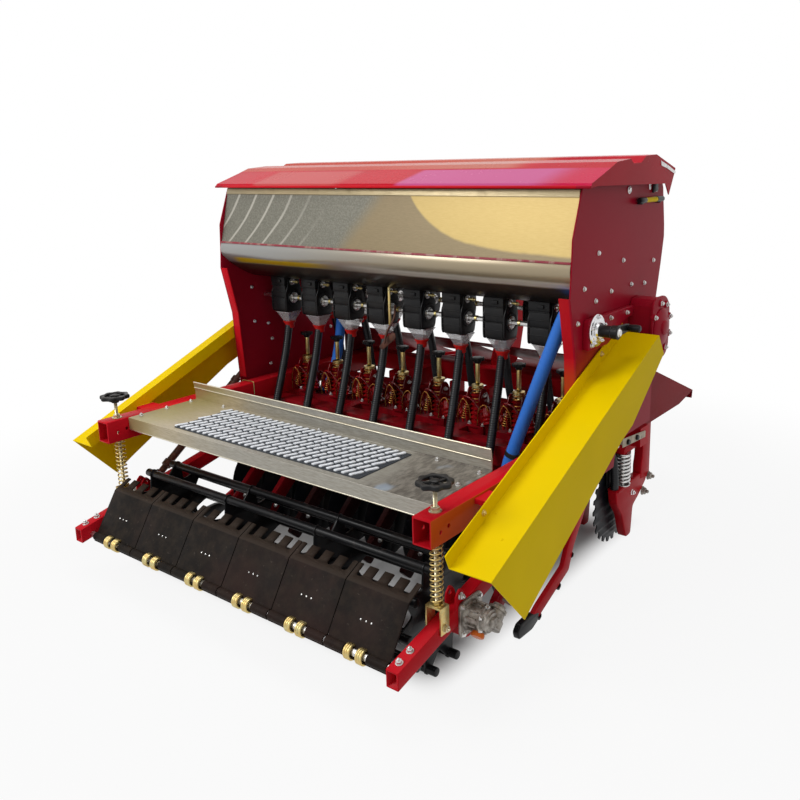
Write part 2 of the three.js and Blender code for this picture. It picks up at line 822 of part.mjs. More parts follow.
function guard() {
  const [x0, x1] = [GUARD_X, GUARD_X + GUARD_WIDTH];
  const low = [-96, 488];
  const high = [1020, 970];
  const top = plateX(
    [low, high, [high[0] + 1.6, high[1] - 3.7], [low[0] + 1.6, low[1] - 3.7]].reverse(),
    [x0, x1],
  );
  const side = plateX(
    [low, [81, 291], [167, 344], [718, 650], [810, 686], [1073, 891], high],
    [x1 - SHEET, x1],
  );
  const lip = plateX([low, high, [high[0] - 18.5, high[1] + 43], [low[0] - 18.5, low[1] + 43]], [
    x0,
    x0 + SHEET,
  ]);
  const rearBracket = box([ARM_OUTER_X + SEAT, x0 + 1], [120, 200], [588, 604]);
  const frontBracket = box([PANEL_X + SEAT, x0 + 1], [700, 780], [840, 860]);
  return join(top, side, lip, rearBracket, frontBracket);
}

// ---------- hood and headstock ----------
function frontHood() {
  const [inner, outer] = [ARM_OUTER_X + 0.5 + SEAT, ARM_OUTER_X + 0.5 + SEAT + PANEL];
  const rear = [FRONT_BEAM_Y + BEAM + 20, 767];
  const tip = [HOOD_TIP_Y, 513];
  const end = (x) =>
    plateX(
      [
        [1155, BEAM_TOP_Z + 2],
        [rear[0] - 12, BEAM_TOP_Z + 2],
        [rear[0] - 12, 488],
        [1800, 485],
        tip,
        rear,
        [rear[0], 625],
        [1155, 620],
      ],
      [x, x + PANEL],
    );
  const sheet = foldedSheet([[tip[0] - 8, tip[1] - 38], tip, rear], SHEET, [-outer, outer]);
  const linkSlot = (side) => {
    const x = side * HITCH_HALF;
    return box([x - 52, x + 52], [1690, HOOD_TIP_Y + 124], [400, 800]);
  };
  const mastSlot = box([-44, 44], [1440, 1930], [600, 800]);
  return cut(join(sheet, end(inner), end(-outer)), linkSlot(-1), linkSlot(1), mastSlot);
}

function headstock() {
  const rear = FRONT_TOOLBAR_Y + BEAM + SEAT;
  const cross = box([-HITCH_HALF - 50, HITCH_HALF + 50], [rear, rear + 60], [535, 605]);
  const linkPlate = (x) =>
    plateX(
      [
        [rear, 470],
        [HITCH_Y, HITCH_Z - 45],
        [HITCH_Y + 35, HITCH_Z - 30],
        [HITCH_Y + 35, HITCH_Z + 30],
        [HITCH_Y, HITCH_Z + 45],
        [rear, 605],
      ],
      [x, x + 12],
    );
  const mastPlate = (x) =>
    plateX(
      [
        [rear + 30, 560],
        [rear + 60, 560],
        [1700, 640],
        [MAST_Y + 30, MAST_Z - 30],
        [MAST_Y + 30, MAST_Z + 30],
        [MAST_Y - 30, MAST_Z + 30],
        [rear, 640],
        [rear, 560],
      ],
      [x, x + 12],
    );
  const pieces = [];
  for (const side of [-1, 1]) {
    const x = side * HITCH_HALF;
    pieces.push(linkPlate(x - HITCH_GAP / 2 - 12), linkPlate(x + HITCH_GAP / 2));
    pieces.push(barX(14, [x - HITCH_GAP / 2 - 14, x + HITCH_GAP / 2 + 14], [HITCH_Y, HITCH_Z], 8));
  }
  pieces.push(mastPlate(-38), mastPlate(26));
  pieces.push(barX(12.5, [-42, 42], [MAST_Y, MAST_Z], 8));
  return join(cross, ...pieces);
}

// ---------- assembly ----------
place("main_frame", mainFrame(), red);
placePair("platform_arm", platformArm(), red);
place("platform", platform(), stainless);
placePair("side_panel", sidePanel(), red);
place("hopper_rear_panel", hopperRearPanel(), stainless);
place("hopper_front_panel", hopperFrontPanel(), stainless);
place("hopper_floor", hopperFloor(), stainless);
place("lid", lid(), red);
place("seed_meter_bank", meterBank(SEED_OUTLET_Y), blackPlastic);
place("fertiliser_meter_bank", fertiliserMeterBank(), blackPlastic);
place("drain_pipe", drainPipe(), bluePlastic);

const seedTube = dropTube(0, SEED_OUTLET_Y, METER_BOTTOM_Z - SEAT, SEED_ROUTE, 7);
const openerDisc = turningDisc(OPENER_DISC, OPENER_DISC_Y, [-38, -10], OPENER_DISC_X);
const frontDisc = turningDisc(FRONT_DISC, FRONT_DISC_Y, [-20, 15], 0);
for (let row = 0; row < ROWS; row++) {
  place(`seed_tube_${row + 1}`, seedTube, hoseRubber, rowX(row));
  place(`opener_disc_${row + 1}`, openerDisc, discSteel, rowX(row));
  place(`front_disc_${row + 1}`, frontDisc, discSteel, rowX(row) + SIDE_BAND);
}
place("seed_opener_gang", seedOpenerGang(), red);
place("front_opener_gang", frontOpenerGang(), red);

place("roller", roller(), blackPaint);
placePair("roller_arm", rollerArm(), red);
placePair("depth_screw", depthScrew(), zincGold);
placePair("depth_spring", depthSpring(), zincGold);
place("scraper", scraper(), darkSteel);
placePair("gearbox", gearbox(), aluminium);
placePair("drive_shaft", driveShaft(), brownSteel);
placePair("transmission_case", transmissionCase(), red);
place("crank", crank(), blackPlastic);
placePair("guard", guard(), yellow);
place("front_hood", frontHood(), red);
place("headstock", headstock(), red);

// The finished machine stands on z = 0 about the middle of its box.
const extent = new THREE.Box3().setFromObject(machine);
const middle = extent.getCenter(new THREE.Vector3());
machine.position.set(-middle.x, -middle.y, -extent.min.z);

const drill = new THREE.Group();
drill.add(machine);

export default drill;
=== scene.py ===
import math

import bpy
from mathutils import Matrix, Vector


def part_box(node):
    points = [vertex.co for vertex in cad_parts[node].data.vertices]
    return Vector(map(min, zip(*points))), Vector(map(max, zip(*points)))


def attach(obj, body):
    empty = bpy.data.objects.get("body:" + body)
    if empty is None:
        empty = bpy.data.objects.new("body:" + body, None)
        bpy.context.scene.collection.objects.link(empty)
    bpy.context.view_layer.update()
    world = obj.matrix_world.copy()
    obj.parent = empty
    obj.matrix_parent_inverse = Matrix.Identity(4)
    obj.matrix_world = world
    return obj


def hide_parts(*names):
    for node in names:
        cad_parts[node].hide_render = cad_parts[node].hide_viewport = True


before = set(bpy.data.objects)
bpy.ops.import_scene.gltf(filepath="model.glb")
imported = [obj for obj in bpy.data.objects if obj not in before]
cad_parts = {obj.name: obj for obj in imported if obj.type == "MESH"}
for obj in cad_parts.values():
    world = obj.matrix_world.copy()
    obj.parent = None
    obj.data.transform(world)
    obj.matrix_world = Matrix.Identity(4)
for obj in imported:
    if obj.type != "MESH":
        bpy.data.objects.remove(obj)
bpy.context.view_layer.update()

# Lengths are in millimetres until a piece is placed. X is to the right, Y is the direction of
# travel from the rear edge of the loading step, and Z is up from the ground.
MM = 0.001
STEP_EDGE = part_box("platform")[0].y
ROW_PITCH = 200
ROWS = [(i - 3.5) * ROW_PITCH for i in range(8)]
SIDES = {"right": 1, "left": -1}
RED, YELLOW = (0.60, 0.008, 0.018), (0.87, 0.615, 0.0)


def spot(x, y, z):
    return Vector((x * MM, STEP_EDGE + y * MM, z * MM))


# ---------- camera ----------
CAMERA_SPOT = spot(2126.4, -1746.0, 1570.6)
TURN, DIP, ROLL = math.radians(36.385), math.radians(12.349), math.radians(-0.839)


def place_camera():
    ahead = Vector((-math.sin(TURN) * math.cos(DIP), math.cos(TURN) * math.cos(DIP),
                    -math.sin(DIP)))
    level = Vector((math.cos(TURN), math.sin(TURN), 0))
    above = level.cross(ahead)
    right = level * math.cos(ROLL) + above * math.sin(ROLL)
    up = above * math.cos(ROLL) - level * math.sin(ROLL)
    data = bpy.data.cameras.new("camera")
    data.lens, data.sensor_width = 36.30, 36.0
    data.shift_x, data.shift_y = -0.0603, -0.0678
    data.clip_start, data.clip_end = 0.05, 100
    camera = bpy.data.objects.new("camera", data)
    camera.matrix_world = Matrix((right, up, -ahead)).transposed().to_4x4()
    camera.location = CAMERA_SPOT
    bpy.context.scene.collection.objects.link(camera)
    bpy.context.scene.camera = camera


place_camera()


# ---------- finishes ----------
class Wire:
    """A value on its way through a finish, so that shader maths reads as plain sums."""

    def __init__(self, finish, socket):
        self.finish, self.socket = finish, socket

    def maths(self, operation, *values, clamp=False):
        return self.finish.node("Math", {"operation": operation, "use_clamp": clamp}, *values)

    def __add__(self, other):
        return self.maths("ADD", self, other)

    def __radd__(self, other):
        return self.maths("ADD", other, self)

    def __sub__(self, other):
        return self.maths("SUBTRACT", self, other)

    def __rsub__(self, other):
        return self.maths("SUBTRACT", other, self)

    def __mul__(self, other):
        return self.maths("MULTIPLY", self, other)

    def __rmul__(self, other):
        return self.maths("MULTIPLY", other, self)

    def __truediv__(self, other):
        return self.maths("DIVIDE", self, other)

    def __pow__(self, other):
        return self.maths("POWER", self, other)

    def above(self, low, high):
        """0 under low, 1 over high and a smooth rise between them."""
        settings = {"interpolation_type": "SMOOTHSTEP"}
        return self.finish.node("MapRange", settings, self, low, high, 0.0, 1.0)

    def most(self, other):
        return self.maths("MAXIMUM", self, other)


class Finish:
    """A procedural material. Its shader is a Principled BSDF that dress() sets."""

    def __init__(self, name):
        self.material = bpy.data.materials.new(name)
        self.material.use_nodes = True
        self.tree = self.material.node_tree
        self.tree.nodes.clear()
        self.here = self.node("TexCoord", {}, output="Object")

    def node(self, kind, settings, *values, output=0, **named):
        made = self.tree.nodes.new("ShaderNode" + kind)
        for name, value in settings.items():
            setattr(made, name, value)
        for key, value in [*enumerate(values), *named.items()]:
            socket = made.inputs[key.replace("_", " ") if isinstance(key, str) else key]
            if isinstance(value, Wire):
                self.tree.links.new(value.socket, socket)
            elif value is not None:
                is_color = len_of(value) == 3 and socket.type == "RGBA"
                socket.default_value = (*value, 1) if is_color else value
        return Wire(self, made.outputs[output])

    def stretched(self, x, y, z, turn=(0, 0, 0)):
        return self.node("Mapping", {}, Vector=self.here, Scale=(x, y, z), Rotation=turn)

    def noise(self, scale, detail=3.0, roughness=0.5, at=None, distortion=0.0):
        return self.node("TexNoise", {}, Vector=at or self.here, Scale=scale, Detail=detail,
                         Roughness=roughness, Distortion=distortion)

    def cells(self, scale, output="Distance"):
        return self.node("TexVoronoi", {"feature": "F1"}, Vector=self.here, Scale=scale,
                         output=output)

    def mix(self, share, first, second):
        made = self.tree.nodes.new("ShaderNodeMix")
        made.data_type = "RGBA"
        for index, value in ((0, share), (6, first), (7, second)):
            if isinstance(value, Wire):
                self.tree.links.new(value.socket, made.inputs[index])
            else:
                made.inputs[index].default_value = (*value, 1) if index else value
        return Wire(self, made.outputs[2])

    def parts(self, vector):
        made = self.tree.nodes.new("ShaderNodeSeparateXYZ")
        self.tree.links.new(vector.socket, made.inputs[0])
        return [Wire(self, socket) for socket in made.outputs]

    def bump(self, height, strength, distance):
        return self.node("Bump", {}, Height=height, Strength=strength, Distance=distance)

    def dress(self, color, roughness, metallic=0.0, normal=None, coat=0.0, **fixed):
        surface = self.node("BsdfPrincipled", {}, Base_Color=color, Roughness=roughness,
                            Metallic=metallic, Normal=normal, Coat_Weight=coat, **fixed)
        self.node_out(surface)
        return self.material

    def node_out(self, surface):
        out = self.tree.nodes.new("ShaderNodeOutputMaterial")
        self.tree.links.new(surface.socket, out.inputs["Surface"])


def len_of(value):
    return len(value) if hasattr(value, "__len__") else 0


def paint(name, color, dust=(0.30, 0.13, 0.09), dusty=0.05, rough=0.27, chips=0.5,
          worn=(0.10, 0.09, 0.085), coat=0.0, deep=0.80, tinted=None, level=0.05):
    """Powder coat: a faint orange peel, patches of dust, fine scratches and a few chips."""
    f = Finish(name)
    grime = f.noise(3.1, 5, 0.62).above(0.46, 0.74) * dusty
    shade = f.noise(2.3, 3, 0.5).above(0.32, 0.68)
    base = f.mix(shade, tuple(c * deep for c in color), color)
    if tinted:
        base = tinted(f, base)
    dusted = f.mix(grime, base, dust)
    scratch = f.noise(38.0, 2, 0.5, at=f.stretched(1.0, 0.12, 6.0)).above(0.70, 0.76) * 0.10
    nick = f.cells(46.0).maths("LESS_THAN", f.cells(46.0),
                               0.075) * f.noise(5.3, 2).above(0.56, 0.62) * chips
    marked = f.mix(scratch, dusted, tuple(min(1, c * 1.35 + 0.03) for c in color))
    chipped = f.mix(nick, marked, worn)
    peel = f.noise(420.0, 1, 0.4)
    roughness = rough + grime * 1.1 + f.noise(60.0, 3) * 0.10
    return f.dress(chipped, roughness, 0.0, f.bump(peel - nick * 2.0, 0.10, 0.0006), coat,
                   Coat_Roughness=0.12, Specular_IOR_Level=level)


def lid_painted_reflections(f, base):
    """Painted reflections: the lid's rear slopes are painted in broad bands along it, where they
    catch the ground and the sky.
    """
    x, y, z = f.parts(f.here)
    x = x + (f.noise(3.0, 3) - 0.5) * 0.05
    lean = (z - 1.535) * 0.55
    along = x - lean
    salmon = along.above(-0.70, -0.66) * (1.0 - along.above(-0.22, -0.14))
    violet = along.above(0.115, 0.15) * (1.0 - along.above(0.70, 0.90))
    crimson = along.above(0.70, 0.90)
    outside = f.parts(f.node("TexCoord", {}, output="Normal"))[2].above(0.02, 0.06)
    eave = (1.0 - z.above(1.566, 1.570)) * z.above(1.504,
                                                   1.515) * (1.0 - y.above(0.0, 0.004)) * outside
    # Painted reflections: salmon, violet and crimson bands on the eave's upward faces.
    color = f.mix(salmon * eave, base, (0.50, 0.070, 0.072))
    color = f.mix(violet * eave, color, (0.50, 0.085, 0.235))
    color = f.mix(crimson * eave, color, (0.52, 0.006, 0.055))
    # Painted sheen: the lid's top, left of x 0.5 to 0.64, is painted warmer and paler.
    upper = z.above(1.570, 1.574) * outside * 0.7
    warm = f.mix(x.above(-0.3, 0.4) * (1.0 - x.above(0.5, 0.62)), (0.46, 0.085, 0.05),
                 (0.50, 0.20, 0.14))
    return f.mix(upper * (1.0 - x.above(0.5, 0.64)), color, warm)


def frame_shade(f, base):
    """Painted shade: deep inside the frame the paint is painted dark and mottled, where shade
    falls.
    """
    x, y, z = f.parts(f.here)
    inside = (1.0 - x.maths("ABSOLUTE", x).above(0.70, 0.80)) * (1.0 - z.above(0.60, 0.66))
    inside = inside * (1.0 - y.above(0.40, 0.50))
    return f.mix(inside * (0.55 + f.noise(12.0, 4, 0.6).above(0.35, 0.7) * 0.35), base,
                 (0.085, 0.003, 0.006))


def painted_arm_shade(f, base):
    """Painted shade: the inner openers' arms, in front of the roller, are painted near black."""
    x, _, z = f.parts(f.here)
    inner = x.above(-0.42, -0.38) * (1.0 - x.above(0.60, 0.64)) * (1.0 - z.above(0.40, 0.43))
    return f.mix(inner * 0.93, base, (0.010, 0.007, 0.007))


def guard_glow(f, base):
    """Painted light: the red beside the yellow guard is painted warm, as the guard's light falls on
    it. Painted shade: the red parts out at the sides are painted darker.
    """
    x, y, z = f.parts(f.here)
    over = z - (y + 0.973) * 0.432 - 0.488
    side = x.above(0.837, 0.839)
    low = (1.0 - z.above(0.609, 0.612)) * z.above(0.51, 0.52)
    # Painted shade: red parts beyond 0.888 from the middle, the side panels and chain cases among
    # them, are painted darker.
    base = f.mix(x.maths("ABSOLUTE", x).above(0.886, 0.890) * 0.8, base, (0.30, 0.006, 0.024))
    # Painted light: on the right, beyond x 0.838, the red under the guard and just above its slope
    # is painted warm orange.
    near = (1.0 - over.above(0.01, 0.13)) * (1.0 - y.above(-0.06, 0.02)) * z.above(0.62, 0.66)
    return f.mix(side * (low * (1.0 - y.above(-0.5, 0.1)) * 0.8).most(near * 0.6), base,
                 (0.55, 0.10, 0.008))


def guard_tab(f, base):
    """The guard's tabs are painted with the frame, inside its own edge."""
    x = f.parts(f.here)[0]
    return f.mix(x.maths("ABSOLUTE", x).maths("LESS_THAN", x.maths("ABSOLUTE", x), 0.8985), base,
                 RED)


def sheet_steel(name, light, dark, along=(1.4, 26.0, 26.0), rough=0.22, blotch=2.6, metallic=1.0,
                tan=0.45, warm=(0.50, 0.39, 0.22)):
    """Rolled stainless: a fine grain one way, and broad soft patches of warm and grey."""
    f = Finish(name)
    grain = f.noise(18.0, 4, 0.6, at=f.stretched(*along))
    fine = f.noise(160.0, 3, 0.55, at=f.stretched(along[0] * 0.3, *along[1:]))
    broad = f.noise(blotch, 4, 0.55, distortion=0.7)
    color = f.mix(grain.above(0.3, 0.7), dark, light)
    warmed = f.mix(broad.above(0.42, 0.68) * tan, color, warm)
    smudge = f.noise(9.0, 4, 0.65).above(0.52, 0.75)
    grey = f.mix(smudge * 0.28, warmed, tuple(c * 0.45 for c in dark))
    roughness = rough + fine * 0.14 + smudge * 0.16
    return f.dress(grey, roughness, metallic, f.bump(fine + grain * 0.4, 0.06, 0.0005))


def bright_plate(name, color, tint, rough=0.3, speckle=0.5):
    """Plated steel: spangle or iridescent zinc, with dirt in its low places."""
    f = Finish(name)
    cloud = f.noise(70.0, 4, 0.6)
    spangle = f.cells(240.0, output="Color")
    flake = f.parts(spangle)[0]
    base = f.mix(cloud.above(0.35, 0.7), color, tint)
    flaked = f.mix(flake * speckle * 0.5, base, tuple(c * 0.6 for c in color))
    dirt = f.noise(24.0, 5, 0.7).above(0.55, 0.72)
    dirty = f.mix(dirt * 0.45, flaked, (0.06, 0.045, 0.03))
    return f.dress(dirty, rough + flake * 0.12 + dirt * 0.3, 0.95 - dirt * 0.5,
                   f.bump(cloud, 0.08, 0.0004))


def moulded(name, color, rough=0.42, dusty=0.2, grain=520.0):
    """Moulded plastic or rubber: a fine skin texture and a light film of dust."""
    f = Finish(name)
    film = f.noise(13.0, 4, 0.6).above(0.45, 0.78)
    top = f.parts(f.node("NewGeometry", {}, output="Normal"))[2].above(0.2, 1.0)
    dusted = f.mix((film * 0.5 + top * 0.5) * dusty, color, (0.30, 0.26, 0.21))
    skin = f.noise(grain, 2, 0.5)
    return f.dress(dusted, rough + film * 0.16, 0.0, f.bump(skin, 0.12, 0.0004),
                   Specular_IOR_Level=0.18)


def mill_scale(name):
    """Hot-rolled spring steel: dark brown scale with fine speckles and a few rubbed marks."""
    f = Finish(name)
    cloud = f.noise(2.3, 4, 0.6)
    color = f.mix(f.noise(26.0, 5, 0.62).above(0.35, 0.7), (0.0105, 0.0085, 0.0075),
                  (0.022, 0.0165, 0.0125))
    brown = f.mix(cloud.above(0.44, 0.70) * 0.65, color, (0.034, 0.017, 0.014))
    rub = f.noise(52.0, 4, 0.72, at=f.stretched(1.0, 1.6, 1.0)).above(0.63, 0.72)
    comb = f.parts(f.here)[2].above(0.3325, 0.3365)
    lit = f.mix(comb * 0.6, brown, (0.048, 0.035, 0.027))
    bright = f.mix(rub * 0.32, lit, (0.13, 0.105, 0.085))
    return f.dress(bright, 0.42 + f.noise(90.0, 3) * 0.16, 0.0,
                   f.bump(f.noise(200.0, 4, 0.6), 0.16, 0.0005), Specular_IOR_Level=0.05)


def ribbed_rubber(name):
    """A black hose with close rings."""
    f = Finish(name)
    height = f.parts(f.here)[2] * (2 * math.pi / 0.0085)
    ring = height.maths("SINE", height)
    film = f.noise(13.0, 4, 0.6).above(0.5, 0.8) * 0.10
    # A dust film, and a faint painted highlight on each ring's crest, lighten the black.
    color = f.mix(film * 0.6 + ring.above(0.4, 1.0) * 0.03, (0.007, 0.008, 0.010),
                  (0.20, 0.22, 0.25))
    return f.dress(color, 0.30 + film, 0.0, f.bump(ring, 0.35, 0.0011), Specular_IOR_Level=0.28)


def clear_plastic(name):
    f = Finish(name)
    haze = f.noise(9.0, 2, 0.5).above(0.3, 0.8)
    return f.dress(f.mix(haze, (0.52, 0.50, 0.52), (0.72, 0.70, 0.70)), 0.12 + haze * 0.1, 0.0,
                   f.bump(f.noise(40.0, 1), 0.05, 0.0006), Alpha=haze * 0.14 + 0.30,
                   Specular_IOR_Level=0.5)


def seed_box_sheet(name):
    """Bright rolled sheet with three broad tones and soft pale bows, all painted reflections on the
    polished sheet.
    """
    f = Finish(name)
    x, _, z = f.parts(f.here)
    wander = f.noise(2.6, 4, 0.55) - 0.5
    fine = f.noise(14.0, 3) - 0.5
    # Painted reflections: gray to the left, tan to the right and pale gold above a curve.
    fall = (0.201 - x) * 6.29
    rise = z - 1.276 - fall.maths("EXPONENT", fall) * 0.169
    pale = (rise + fine * 0.010).above(-0.004, 0.010)
    tan = (x + (1.44 - z) * 0.8 + wander * 0.10).above(-0.06, 0.05)
    grain = f.noise(26.0, 4, 0.6, at=f.stretched(1.6, 20.0, 20.0))
    speck = f.noise(150.0, 3, 0.6)
    gray = f.mix(speck.above(0.38, 0.66), (0.150, 0.145, 0.115), (0.215, 0.205, 0.165))
    up = z - 1.31
    # Painted reflections: pale bows across the left part of the sheet.
    bow = (x - up * 0.9 + up * up * 1.6 + 0.792 + wander * 0.03) * (2 * math.pi / 0.112)
    line = bow.maths("COSINE", bow).above(0.86, 0.985) * (1.0 - x.above(-0.62, -0.22))
    gray = f.mix(line * 0.75, gray, (0.50, 0.475, 0.41))
    middle = f.mix(grain.above(0.3, 0.7) * 0.5, (0.215, 0.165, 0.090), (0.285, 0.220, 0.125))
    bright = f.mix(grain.above(0.3, 0.7) * 0.4, (0.48, 0.345, 0.120), (0.58, 0.430, 0.175))
    color = f.mix(pale, f.mix(tan, gray, middle), bright)
    # Above z 1.47 the sheet is painted darker.
    top = z.above(1.470, 1.475)
    color = f.mix(top * 0.72, color, (0.125, 0.090, 0.042))
    return f.dress(color, 0.36 + speck * 0.10, 0.30, f.bump(grain * 0.5 + speck, 0.05, 0.0005),
                   Specular_IOR_Level=0.3)


def deck_sheet(name):
    """The loading step's sheet: warm at one end, gray in the middle and scuffed at the other. It
    carries a painted reflection of the yellow guard at its left end, a painted highlight on its
    upstand and painted glints among the scuffs.
    """
    f = Finish(name)
    x, y, z = f.parts(f.here)
    wander = f.noise(3.4, 4, 0.6) - 0.5
    along = x + wander * 0.35
    grain = f.noise(22.0, 4, 0.62, at=f.stretched(1.2, 14.0, 14.0))
    scuff = f.noise(30.0, 5, 0.7, at=f.stretched(2.2, 0.7, 1.0, (0, 0, 0.5)))
    warm = f.mix(grain.above(0.3, 0.7), (0.40, 0.33, 0.21), (0.52, 0.44, 0.30))
    gray = f.mix(grain.above(0.3, 0.7), (0.30, 0.28, 0.235), (0.42, 0.40, 0.35))
    color = f.mix(along.above(-0.62, -0.10), warm, gray)
    # Painted highlight: the upstand above z 0.656 is painted paler, with ripples.
    ledge = z.above(0.650, 0.662)
    ripple = f.noise(60.0, 4, 0.6, at=f.stretched(0.5, 1.0, 1.6)).above(0.45, 0.65)
    color = f.mix(ledge * (0.35 + ripple * 0.4), color, (0.52, 0.49, 0.43))
    # Painted reflection: the left end is painted olive yellow, as the yellow guard shows in it.
    color = f.mix((1.0 - along.above(-0.72, -0.52)) * 0.7, color, (0.34, 0.29, 0.10))
    flat = 1.0 - z.above(0.612, 0.616)
    front = 1.0 - y.above(-0.877, -0.872)
    worn = along.above(0.44, 0.56) * flat * (1.0 - front)
    dark = f.mix(scuff.above(0.40, 0.62), (0.105, 0.090, 0.076), (0.26, 0.235, 0.20))
    color = f.mix(worn * 0.85, color, dark)
    # Painted highlight: blue-white glints in the scuffed part.
    glint = f.noise(8.0, 2, 0.5, at=f.stretched(1.0, 0.7, 1.0)).above(0.60, 0.70) * worn
    color = f.mix(glint * 0.7, color, (0.42, 0.50, 0.60))
    return f.dress(color, 0.32 + scuff * 0.16, 0.35, f.bump(grain + scuff * 0.4, 0.06, 0.0005),
                   Specular_IOR_Level=0.35)


def roll_sheet(name):
    """The polished roll under the seed box: bands along it of warm, bright and dark. The bright
    band is a painted highlight, the yellow at its left a painted reflection of the guard, and the
    dark below it painted shade on the underside.
    """
    f = Finish(name)
    x, _, z = f.parts(f.here)
    wander = (f.noise(7.0, 4, 0.6, at=f.stretched(0.5, 1.0, 1.0)) - 0.5) * 0.012
    level = z + wander
    upper = f.mix((x + wander * 6.0).above(-0.75, 0.5), (0.30, 0.30, 0.29), (0.36, 0.29, 0.185))
    # Painted highlight: a white band, with a painted reflection of the yellow guard at its left.
    glow = level.above(1.168, 1.176) * (1.0 - level.above(1.190, 1.200))
    yellow = glow * x.above(-0.85, -0.78) * (1.0 - x.above(-0.40, -0.15))
    white = glow * x.above(-0.25, 0.25)
    # Painted shade: below z 1.17 the underside is painted dark, near black at its lowest.
    lower = f.mix(level.above(1.105, 1.160), (0.016, 0.013, 0.010), (0.07, 0.058, 0.042))
    color = f.mix(level.above(1.164, 1.174), lower, upper)
    color = f.mix(yellow, color, (0.72, 0.50, 0.012))
    color = f.mix(white * 0.9, color, (0.90, 0.86, 0.74))
    return f.dress(color, 0.30, 0.35,
                   f.bump(f.noise(40.0, 3, at=f.stretched(1.0, 12.0, 12.0)), 0.06, 0.0005), 0.2,
                   Coat_Roughness=0.2)


def dashed_seam(name):
    """A red sealing bead that shows in dashes between the sheets."""
    f = Finish(name)
    dash = f.noise(24.0, 3, 0.6, at=f.stretched(1.0, 0.1, 0.1)).above(0.36, 0.56)
    color = f.mix(dash, (0.33, 0.16, 0.13), (0.25, 0.012, 0.028))
    return f.dress(color, 0.4 + dash * 0.1, 0.0, f.bump(dash, 0.2, 0.0008))


def black_steel(name, color=(0.008, 0.008, 0.009), worn=(0.12, 0.105, 0.095), wear=0.22,
                rough=0.33):
    """Black paint on steel, rubbed bare in streaks."""
    f = Finish(name)
    rub = f.noise(21.0, 5, 0.68).above(0.58, 0.68) * wear
    mud = f.noise(6.0, 5, 0.6).above(0.55, 0.8)
    base = f.mix(mud * 0.3, color, (0.075, 0.055, 0.04))
    return f.dress(f.mix(rub, base, worn), rough + mud * 0.3, rub * 0.6,
                   f.bump(f.noise(240.0, 3), 0.12, 0.0005), Specular_IOR_Level=0.18)


def cast_metal(name, color, dark, rough=0.38, metallic=0.9):
    """A sand or die casting, lightly pitted and greasy in its corners."""
    f = Finish(name)
    cloud = f.noise(34.0, 5, 0.62)
    pit = f.cells(330.0)
    base = f.mix(cloud.above(0.34, 0.68), dark, color)
    grease = f.noise(15.0, 4, 0.6).above(0.56, 0.72)
    return f.dress(f.mix(grease * 0.6, base, (0.10, 0.075, 0.05)), rough + cloud * 0.2,
                   metallic - grease * 0.4, f.bump(pit + cloud, 0.22, 0.0005))


